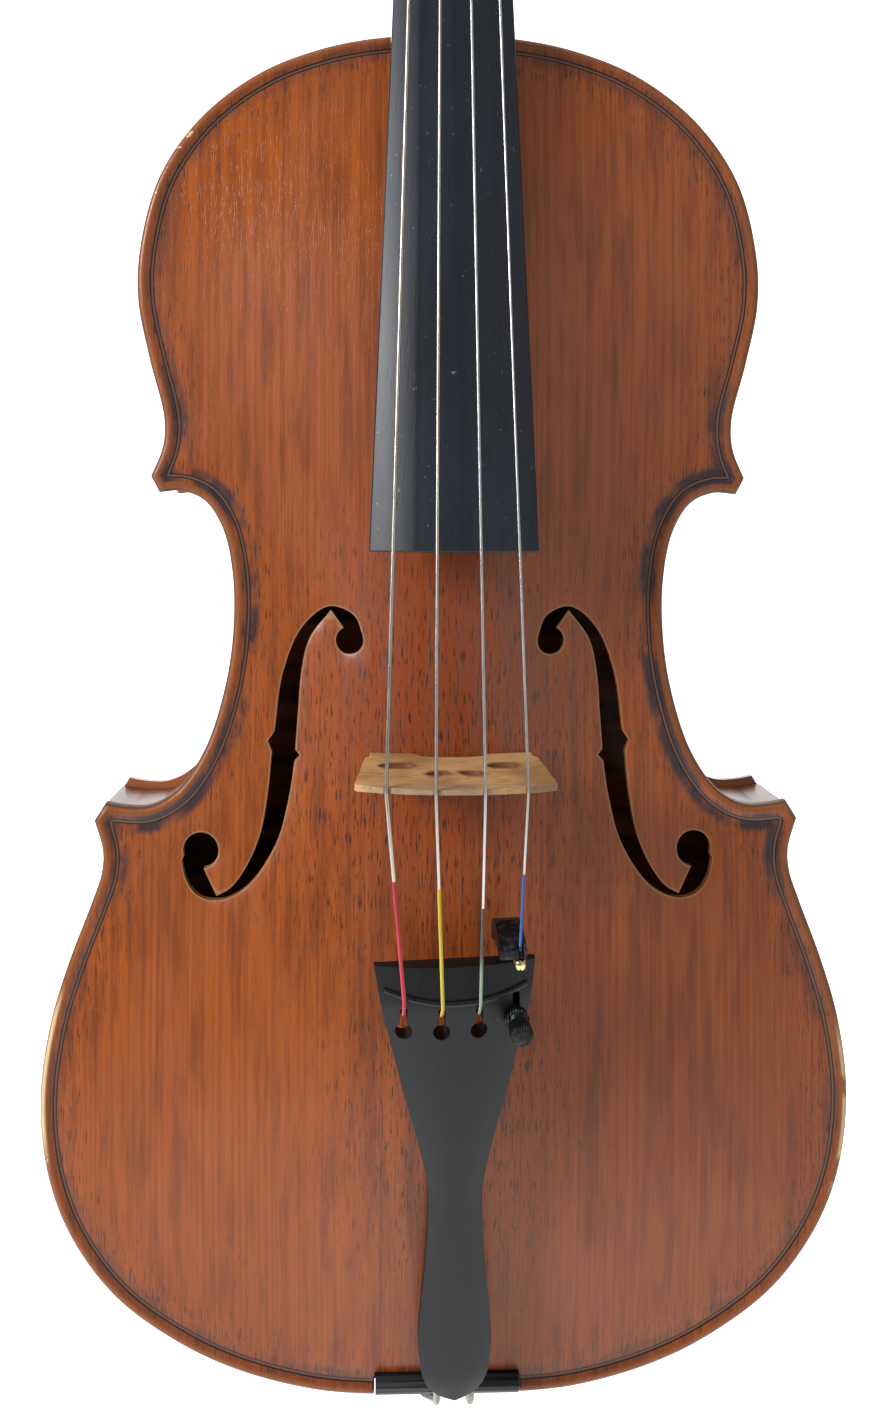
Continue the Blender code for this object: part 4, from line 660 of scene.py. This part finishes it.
# Rings of the same number of points, joined in order and closed at both ends
def ringPiece(name, rings, finish, slot, body, *replaced, angle=40):
    rings = np.asarray(rings, float)
    count, around = rings.shape[:2]
    low = np.arange(count - 1)[:, None] * around
    here, after = np.arange(around), (np.arange(around) + 1) % around
    high = low + around
    quads = np.stack((low + here, low + after, high + after, high + here), axis=2).reshape(-1, 4)
    faces = quads.tolist() + [list(range(around)), list(range((count - 1) * around, count * around))]
    return addPiece(name, rings.reshape(-1, 3), faces, finish, slot, body, *replaced, angle=angle)


# A copy of a CAD node with its triangles joined, so that its shading runs smoothly
def smoothCopy(node, finish, body="instrument", angle=32):
    shape = bmesh.new()
    shape.from_mesh(nodes[node].data)
    bmesh.ops.remove_doubles(shape, verts=shape.verts, dist=1e-6)
    bmesh.ops.recalc_face_normals(shape, faces=shape.faces)
    mesh = bpy.data.meshes.new(node + "_fine")
    shape.to_mesh(mesh)
    shape.free()
    return placePiece(node + "_fine", mesh, finish, body, (node,), angle)


# The plates

soundHole = {
    "upperEye": ((29.2, 223.1), 4.0, 64.7, -201.5), "lowerEye": ((72.5, 161.2), 5.2, -99.8, -388.0),
    "outerTop": ((25.4, 224.6), (27.8, 230.3), (35.1, 232.9), (43.1, 226.7), (48.8, 213.1), (51.2, 196.0)),
    "outerLow": ((51.9, 190.2), (53.1, 177.1), (55.2, 165.9), (59.3, 156.5), (63.7, 150.7), (67.7, 148.4)),
    "innerLow": ((78.1, 158.2), (76.8, 152.8), (73.5, 148.5), (67.6, 147.1), (59.2, 151.0), (50.5, 163.6),
                 (46.7, 177.4), (45.2, 187.6)),
    "innerTop": ((45.0, 191.0), (44.2, 202.5), (43.3, 213.9), (41.0, 223.3), (34.7, 231.8)),
    "outerNick": (53.2, 193.1), "innerNick": (43.6, 189.3), "step": 1.6,
}


def soundHoleLoop(shape):
    step = shape["step"]
    eyes = [arcPoints(*shape[key], 30)[:-1] for key in ("upperEye", "lowerEye")]
    return np.vstack((eyes[0], smoothCurve(shape["outerTop"], step), [shape["outerNick"]],
                      smoothCurve(shape["outerLow"], step), eyes[1], smoothCurve(shape["innerLow"], step),
                      [shape["innerNick"]], smoothCurve(shape["innerTop"], step)))


def makeBelly():
    half = rimLoop[:len(rimLoop) // 2 + 1]
    half = half[(half[:, 0] > outline["neckHalf"]) & ((half[:, 0] > outline["saddleHalf"]) | (half[:, 1] > 30))]
    neck, saddle = outline["neckHalf"], outline["saddleHalf"]
    start = np.array(((neck, outline["neckZ"]), (neck, 400.4)))
    end = np.array(((saddle, 0.35), (saddle, outline["saddleTop"])))
    half = np.vstack((start, half, end))
    loop = np.vstack((half, (half * (-1, 1))[::-1]))
    hole = soundHoleLoop(soundHole)
    holes = (hole, hole * (-1, 1))
    marks = []
    for inset in plate["rings"]:
        ring = closedLoop(halfOutline(inset))
        ring = np.vstack((ring, ring[:1]))
        keep = within(ring, loop) & (distanceTo(ring, loop) > 0.2)
        marks.append(ring[keep])
    spots, faces = fillRegion(loop, plate["pitch"], holes, marks)
    outside, rim = plateOutside(spots, plate["bellyRise"])
    near = np.minimum(*(distanceTo(spots, hole) for hole in holes))
    outside = outside - 0.35 * np.clip(1 - near / 0.8, 0, 1)
    inside = plateInside(spots, plate["bellyRise"])
    count = len(spots)
    corners = np.vstack((np.column_stack((spots[:, 0], -outside, spots[:, 1])),
                         np.column_stack((spots[:, 0], -inside, spots[:, 1]))))
    values = {"rimDistance": np.r_[rim, rim], "holeDistance": np.r_[near, near + 30],
              "inner": np.r_[np.zeros(count), np.ones(count)]}
    addPiece("belly", corners, sandwich(faces, count), spruceFinish, "varnish", "instrument", "top_plate",
             "top_purfling", angle=50, values=values)
    return len(faces)


def makeBack():
    marks = []
    for inset in plate["rings"]:
        ring = closedLoop(halfOutline(inset))
        marks.append(np.vstack((ring, ring[:1])))
    spots, faces = fillRegion(rimLoop, 3.2, (), marks)
    outside, rim = plateOutside(spots, plate["backRise"])
    inside = plateInside(spots, plate["backRise"])
    count, depth = len(spots), plate["ribDepth"]
    corners = np.vstack((np.column_stack((spots[:, 0], depth + outside, spots[:, 1])),
                         np.column_stack((spots[:, 0], depth + inside, spots[:, 1]))))
    addPiece("back", corners, sandwich(faces, count), backFinish, "varnish", "instrument", "back_plate",
             "back_purfling", angle=50, values={"rimDistance": np.r_[rim, rim]})
    # the button behind the heel
    disc = []
    for above, radius in ((0, 10.8), (0.4, 11.0), (3.6, 11.0), (4.1, 10.6), (4.2, 9.8)):
        loop = arcPoints((0, 403.5), radius, 0, 360, 49)[:-1]
        disc.append(np.column_stack((loop[:, 0], np.full(48, depth + above), loop[:, 1])))
    ringPiece("backButton", disc, neckFinish, "varnish", "instrument")


makeBelly()
makeBack()
print("plates made")


# Fingerboard

board = {
    "end": 249.4, "nut": 545.0, "endHalf": 23.5, "nutHalf": 11.9, "camber": 42.0, "edge": 5.0, "topEnd": -41.1,
    "topNut": -0.9, "scoop": 3.5,
}


def makeBoard(b):
    across = 33
    z = np.concatenate(([b["end"]], np.linspace(b["end"] + 1, 396, 24), np.linspace(400, b["nut"] - 0.3, 24)))
    share = (z - b["end"]) / (b["nut"] - b["end"])
    half = b["endHalf"] + (b["nutHalf"] - b["endHalf"]) * share
    top = b["topEnd"] + (b["topNut"] - b["topEnd"]) * share

    def drop(x):
        return b["camber"] - np.sqrt(b["camber"] ** 2 - x**2)

    underEnd = b["topEnd"] + drop(b["endHalf"]) + b["edge"]
    underNut = b["topNut"] + drop(b["nutHalf"]) + b["edge"]
    under = underEnd + (underNut - underEnd) * share
    s = np.linspace(-1, 1, across)
    x = half[:, None] * s
    upper = np.stack((x, top[:, None] + drop(x), np.repeat(z[:, None], across, axis=1)), axis=2)
    xBack = x[:, ::-1] * 0.985
    hollow = np.where(z[:, None] < 396, b["scoop"], 0.0) * np.clip(1 - (s[::-1] / 0.88) ** 2, 0, 1)
    lower = np.stack((xBack, under[:, None] - hollow, np.repeat(z[:, None], across, axis=1)), axis=2)
    rings = np.concatenate((upper, lower), axis=1)
    piece = ringPiece("board", rings, boardFinish, "ebony", "instrument", "fingerboard")
    breakEdges(piece, 0.45)


makeBoard(board)


# Bridge: seen along the strings, its feet follow the belly and the strings sit in notches

bridge = {
    "front": 191.4, "back": 186.7, "topThick": 1.3, "footHalf": 23.2, "topHalf": 26.9, "crown": -56.1,
    "curve": 63.0,
    "notches": ((18.7, 0.38), (7.3, 0.45), (-5.6, 0.50), (-18.5, 0.58)), "glueGap": 0.3,
    # x, height over the feet, half width, half height and lean of each cut-out
    "ovals": ((-15.6, 13.0, 4.8, 2.5, 0), (13.5, 13.0, 3.9, 2.5, 0), (-4.6, 21.0, 3.0, 1.9, 0.3),
              (4.5, 21.0, 3.0, 1.9, -0.3)),
}


def makeBridge(b):
    def top(x):
        return b["crown"] + b["curve"] - np.sqrt(b["curve"] ** 2 - np.asarray(x, float) ** 2)

    def onBelly(x):
        spots = np.array([(x, z) for z in (b["back"], b["front"])])
        return -(plate["edgeThick"] + archHeight(spots, plate["bellyRise"]).max()) - b["glueGap"]

    footY = onBelly(10)
    right = [(x, onBelly(x)) for x in (10.2, 14.5, 19.0, b["footHalf"])]
    right += [(b["footHalf"], footY - 2.6), (b["footHalf"] + 1.3, footY - 4.2)]
    right += [(b["topHalf"], top(b["topHalf"]) + 1.2)]
    left = [(-x, y) for x, y in right][::-1]
    crown = [(b["topHalf"] - 0.6, float(top(b["topHalf"])))]
    for x, radius in b["notches"]:
        crown += [tuple(p) for p in arcPoints((x, top(x) - 0.3), radius + 0.12, 20, 160, 7)]
        if x > -10:
            crown += [(x - k, float(top(x - k))) for k in (3.0, 6.0, 9.0)]
    crown.append((-b["topHalf"] + 0.6, float(top(b["topHalf"]))))
    between = smoothCurve([(-8.6, footY - 2.7), (-5, footY - 3.6), (5, footY - 3.6), (8.6, footY - 2.7)], 1.5)
    loop = np.vstack((right, crown, left, between))
    ovals = []
    for x, above, wide, tall, lean in b["ovals"]:
        c, s = math.cos(lean), math.sin(lean)
        oval = arcPoints((0, 0), 1, 0, 360, 33)[:-1] * (wide, tall) @ np.array(((c, s), (-s, c)))
        ovals.append(oval + (x, footY - above))
    spots, faces = fillRegion(loop, 2.5, ovals)
    base = -plate["edgeThick"] - plate["bellyRise"]
    share = np.clip((base - spots[:, 1]) / (base - b["crown"]), 0, 1)
    thick = b["front"] - b["back"]
    front = b["back"] + thick + (b["topThick"] - thick) * share
    back = np.full(len(spots), b["back"])
    corners = np.vstack((np.column_stack((spots, front)), np.column_stack((spots, back))))
    # the cut-outs' edges, which get painted shade in the bridge's finish
    cut = np.min([distanceTo(spots, oval) for oval in ovals], axis=0) < 0.01
    piece = addPiece("bridgeCarved", corners, sandwich(faces, len(spots)), bridgeFinish, "bridge_maple",
                     "instrument", "bridge", values={"cutOutShade": np.r_[cut, cut]})
    breakEdges(piece, 0.3)


makeBridge(bridge)


# Tailpiece

tail = {
    "tip": (1.6, -12.0, 6.2), "slope": 10.3, "roll": 4.0, "swing": -0.6, "long": 134.6,
    "outline": ((0, 0), (5.0, 1.5), (8.3, 5.5), (9.8, 11.0), (10.4, 19.0), (9.6, 32.0), (8.3, 46.0), (7.6, 60.0),
                (7.7, 68.0), (10.4, 82.0), (14.6, 98.4), (17.2, 109.9), (20.3, 123.6), (22.1, 134.6)),
    "cross": ((0, 4.0, 1.0), (8, 5.6, 2.0), (60, 6.6, 2.4), (118, 7.8, 3.2), (125.5, 8.2, 3.6), (134.6, 5.6, 3.2)),
    "fret": 125.4, "fretBend": 3.2, "fretHalf": 19.5, "fretHigh": 0.9, "keyholeU": 117.0,
    "keyholes": (-14.4, -4.2, 6.0),
    "keyholeRadius": 2.3, "tunerX": 16.3, "tunerU": 119.7, "tunerRadius": 2.4,
}


# Across, along and out of the tailpiece: unit vectors turned by its slope, roll and swing
def tailAxes():
    slope, roll, swing = (math.radians(tail[key]) for key in ("slope", "roll", "swing"))
    across = np.array((1.0, 0, 0))
    along = np.array((0, -math.sin(slope), math.cos(slope)))
    out = np.array((0, -math.cos(slope), -math.sin(slope)))
    across, out = math.cos(roll) * across - math.sin(roll) * out, math.sin(roll) * across + math.cos(roll) * out
    across, along = (math.cos(swing) * across - math.sin(swing) * along,
                     math.cos(swing) * along + math.sin(swing) * across)
    return np.array((across, along, out))


def onTail(corners):
    return np.array(tail["tip"]) + np.asarray(corners, float) @ tailAxes()


def tailSurface(points):
    table, shape = np.array(tail["cross"]), np.array(tail["outline"])
    middle = np.interp(points[:, 1], table[:, 0], table[:, 1])
    drop = np.interp(points[:, 1], table[:, 0], table[:, 2])
    half = np.maximum(np.interp(points[:, 1], shape[:, 1], shape[:, 0]), 3)
    return middle - drop * np.clip(np.abs(points[:, 0]) / half, 0, 1) ** 2


def makeTail():
    def keyhole(x, u, radius):
        mouth = math.degrees(math.asin(1 / radius))
        ring = arcPoints((x, u), radius, 90 + mouth, 450 - mouth, 30)
        slot = [(x + 1.0, u + 6.2), (x + 0.7, u + 6.8), (x, u + 7.0), (x - 0.7, u + 6.8), (x - 1.0, u + 6.2)]
        return np.vstack((ring, slot))

    half = smoothCurve(tail["outline"], 2.5, before=(-5.0, 1.5))
    end = np.column_stack((np.linspace(20, 0, 9), np.full(9, tail["long"])))
    loop = np.vstack((half, end, (end[:-1] * (-1, 1))[::-1], (half[1:] * (-1, 1))[::-1]))
    holes = [keyhole(x, tail["keyholeU"], tail["keyholeRadius"]) for x in tail["keyholes"]]
    holes.append(keyhole(tail["tunerX"], tail["tunerU"], tail["tunerRadius"]))
    spots, faces = fillRegion(loop, 2.2, holes)
    under = np.column_stack((spots, np.zeros(len(spots))))
    corners = onTail(np.vstack((np.column_stack((spots, tailSurface(spots))), under)))
    piece = addPiece("tailBoard", corners, sandwich(faces, len(spots)), tailFinish, "ebony", "instrument",
                     "tailpiece")
    breakEdges(piece, 0.6, 3)
    x = np.linspace(-tail["fretHalf"], tail["fretHalf"], 61)
    u = tail["fret"] + tail["fretBend"] * (x / tail["fretHalf"]) ** 2
    foot = tailSurface(np.column_stack((x, u))) + 0.1
    turn = np.linspace(0, math.pi, 9)
    rings = [np.column_stack((x, u - 0.8 * math.cos(a), foot + tail["fretHigh"] * math.sin(a))) for a in turn]
    rings = np.stack(rings, axis=1)
    ringPiece("tailFret", onTail(rings.reshape(-1, 3)).reshape(rings.shape), ebonyFinish, "ebony", "instrument",
              "tailpiece_fret")


makeTail()
print("fittings made")


# Pieces whose CAD shape is right get its smooth copy

smoothed = {
    "bottom_rib": ribFinish, "upper_rib_bass": ribFinish, "upper_rib_treble": ribFinish,
    "middle_rib_bass": ribFinish, "middle_rib_treble": ribFinish, "neck": neckFinish, "nut": ebonyFinish, "saddle": ebonyFinish,
    "end_button": ebonyFinish, "tail_gut": cordFinish, "tuner_bracket": blackFinish,
    "tuner_ring_nut": knurledFinish,
}
for node, finish in smoothed.items():
    smoothCopy(node, finish)
smoothCopy("tuner_screw", knurledFinish, "screw")
smoothCopy("tuner_lever", blackFinish, "lever")
smoothCopy("ball_a", brassFinish, "lever", 60)
for name in "cgda":
    smoothCopy("string_" + name, stringFinish[name], angle=60)
    smoothCopy("peg_" + name, ebonyFinish, f"peg_{name}_turning", 40)
    smoothCopy("winding_" + name, stringFinish[name], f"peg_{name}_turning", 60)
print("smooth copies made")


# Camera: 442 mm in front of the belly's edge, over the point that the photograph is square to

cameraPlace = {
    "point": (-19.4, -444.1, 260.9), "lens": 37.9, "turnDegrees": -2.15, "rollDegrees": -0.2, "shiftY": -0.1408,
}


def makeCamera(place):
    data = bpy.data.cameras.new("camera")
    data.sensor_width = 36
    data.lens = place["lens"]
    data.shift_y = place["shiftY"]
    data.clip_start = 0.01
    camera = bpy.data.objects.new("camera", data)
    camera.location = toFrame(place["point"])
    turns = (90, place["rollDegrees"], place["turnDegrees"])
    camera.rotation_euler = [math.radians(turn) for turn in turns]
    bpy.context.scene.collection.objects.link(camera)
    bpy.context.scene.camera = camera


makeCamera(cameraPlace)

studio = {
    "floorZ": -1.2, "floorFront": -1.6, "floorSize": 6.0, "backdropY": 1.6,
    "key": {"place": (-1.5, -0.85, 0.3), "size": 0.7, "watts": 37},
    "fill": {"place": (1.2, -1.3, -0.1), "size": 1.8, "watts": 5},
    "top": {"place": (0.0, -0.2, 1.3), "size": 1.4, "watts": 7},
    "worldStrength": 0.28,
}


def addLamp(name, place, size, watts):
    data = bpy.data.lights.new(name, "AREA")
    data.size, data.energy = size, watts
    lamp = bpy.data.objects.new(name, data)
    lamp.location = place
    bpy.context.scene.collection.objects.link(lamp)
    aim = np.array((0, 0, -0.4)) - np.array(place)
    flat = math.hypot(aim[0], aim[1])
    lamp.rotation_euler = (math.atan2(flat, -aim[2]), 0, math.atan2(aim[1], aim[0]) - math.pi / 2)


def makeStudio(setup):
    for name in ("key", "fill", "top"):
        addLamp(name, **setup[name])
    world = bpy.data.worlds.new("studio")
    world.use_nodes = True
    background = world.node_tree.nodes["Background"]
    background.inputs["Color"].default_value = (1, 1, 1, 1)
    straight = addNode(world, "LightPath").outputs["Is Camera Ray"]
    strength = calc(world, "MULTIPLY_ADD", straight, 1 - setup["worldStrength"], setup["worldStrength"])
    world.node_tree.links.new(strength, background.inputs["Strength"])
    bpy.context.scene.world = world
    paper = newMaterial("studioPaper")
    rays = addNode(paper, "LightPath")
    seen = calc(paper, "ADD", rays.outputs["Is Camera Ray"], rays.outputs["Is Glossy Ray"])
    seen = calc(paper, "MINIMUM", calc(paper, "ADD", seen, rays.outputs["Is Transmission Ray"]), 1.0)
    lit = addNode(paper, "BsdfDiffuse", {"Color": (0.9, 0.9, 0.9, 1)})
    glow = addNode(paper, "Emission", {"Color": (1, 1, 1, 1), "Strength": seen})
    both = addNode(paper, "AddShader", {0: lit.outputs[0], 1: glow.outputs[0]})
    finishMaterial(paper, both)
    half = setup["floorSize"] / 2
    low, front, back = setup["floorZ"], setup["floorFront"], setup["backdropY"]
    sheets = {
        "floor": [(-half, front, low), (half, front, low), (half, half, low), (-half, half, low)],
        "backdrop": [(-half, back, -half), (half, back, -half), (half, back, half), (-half, back, half)],
    }
    for name, corners in sheets.items():
        mesh = bpy.data.meshes.new(name)
        mesh.from_pydata(corners, [], [(0, 1, 2, 3)])
        mesh.materials.append(paper)
        sheet = bpy.data.objects.new(name, mesh)
        bpy.context.scene.collection.objects.link(sheet)


makeStudio(studio)
bpy.context.scene.view_settings.view_transform = "Standard"
print("studio ready")
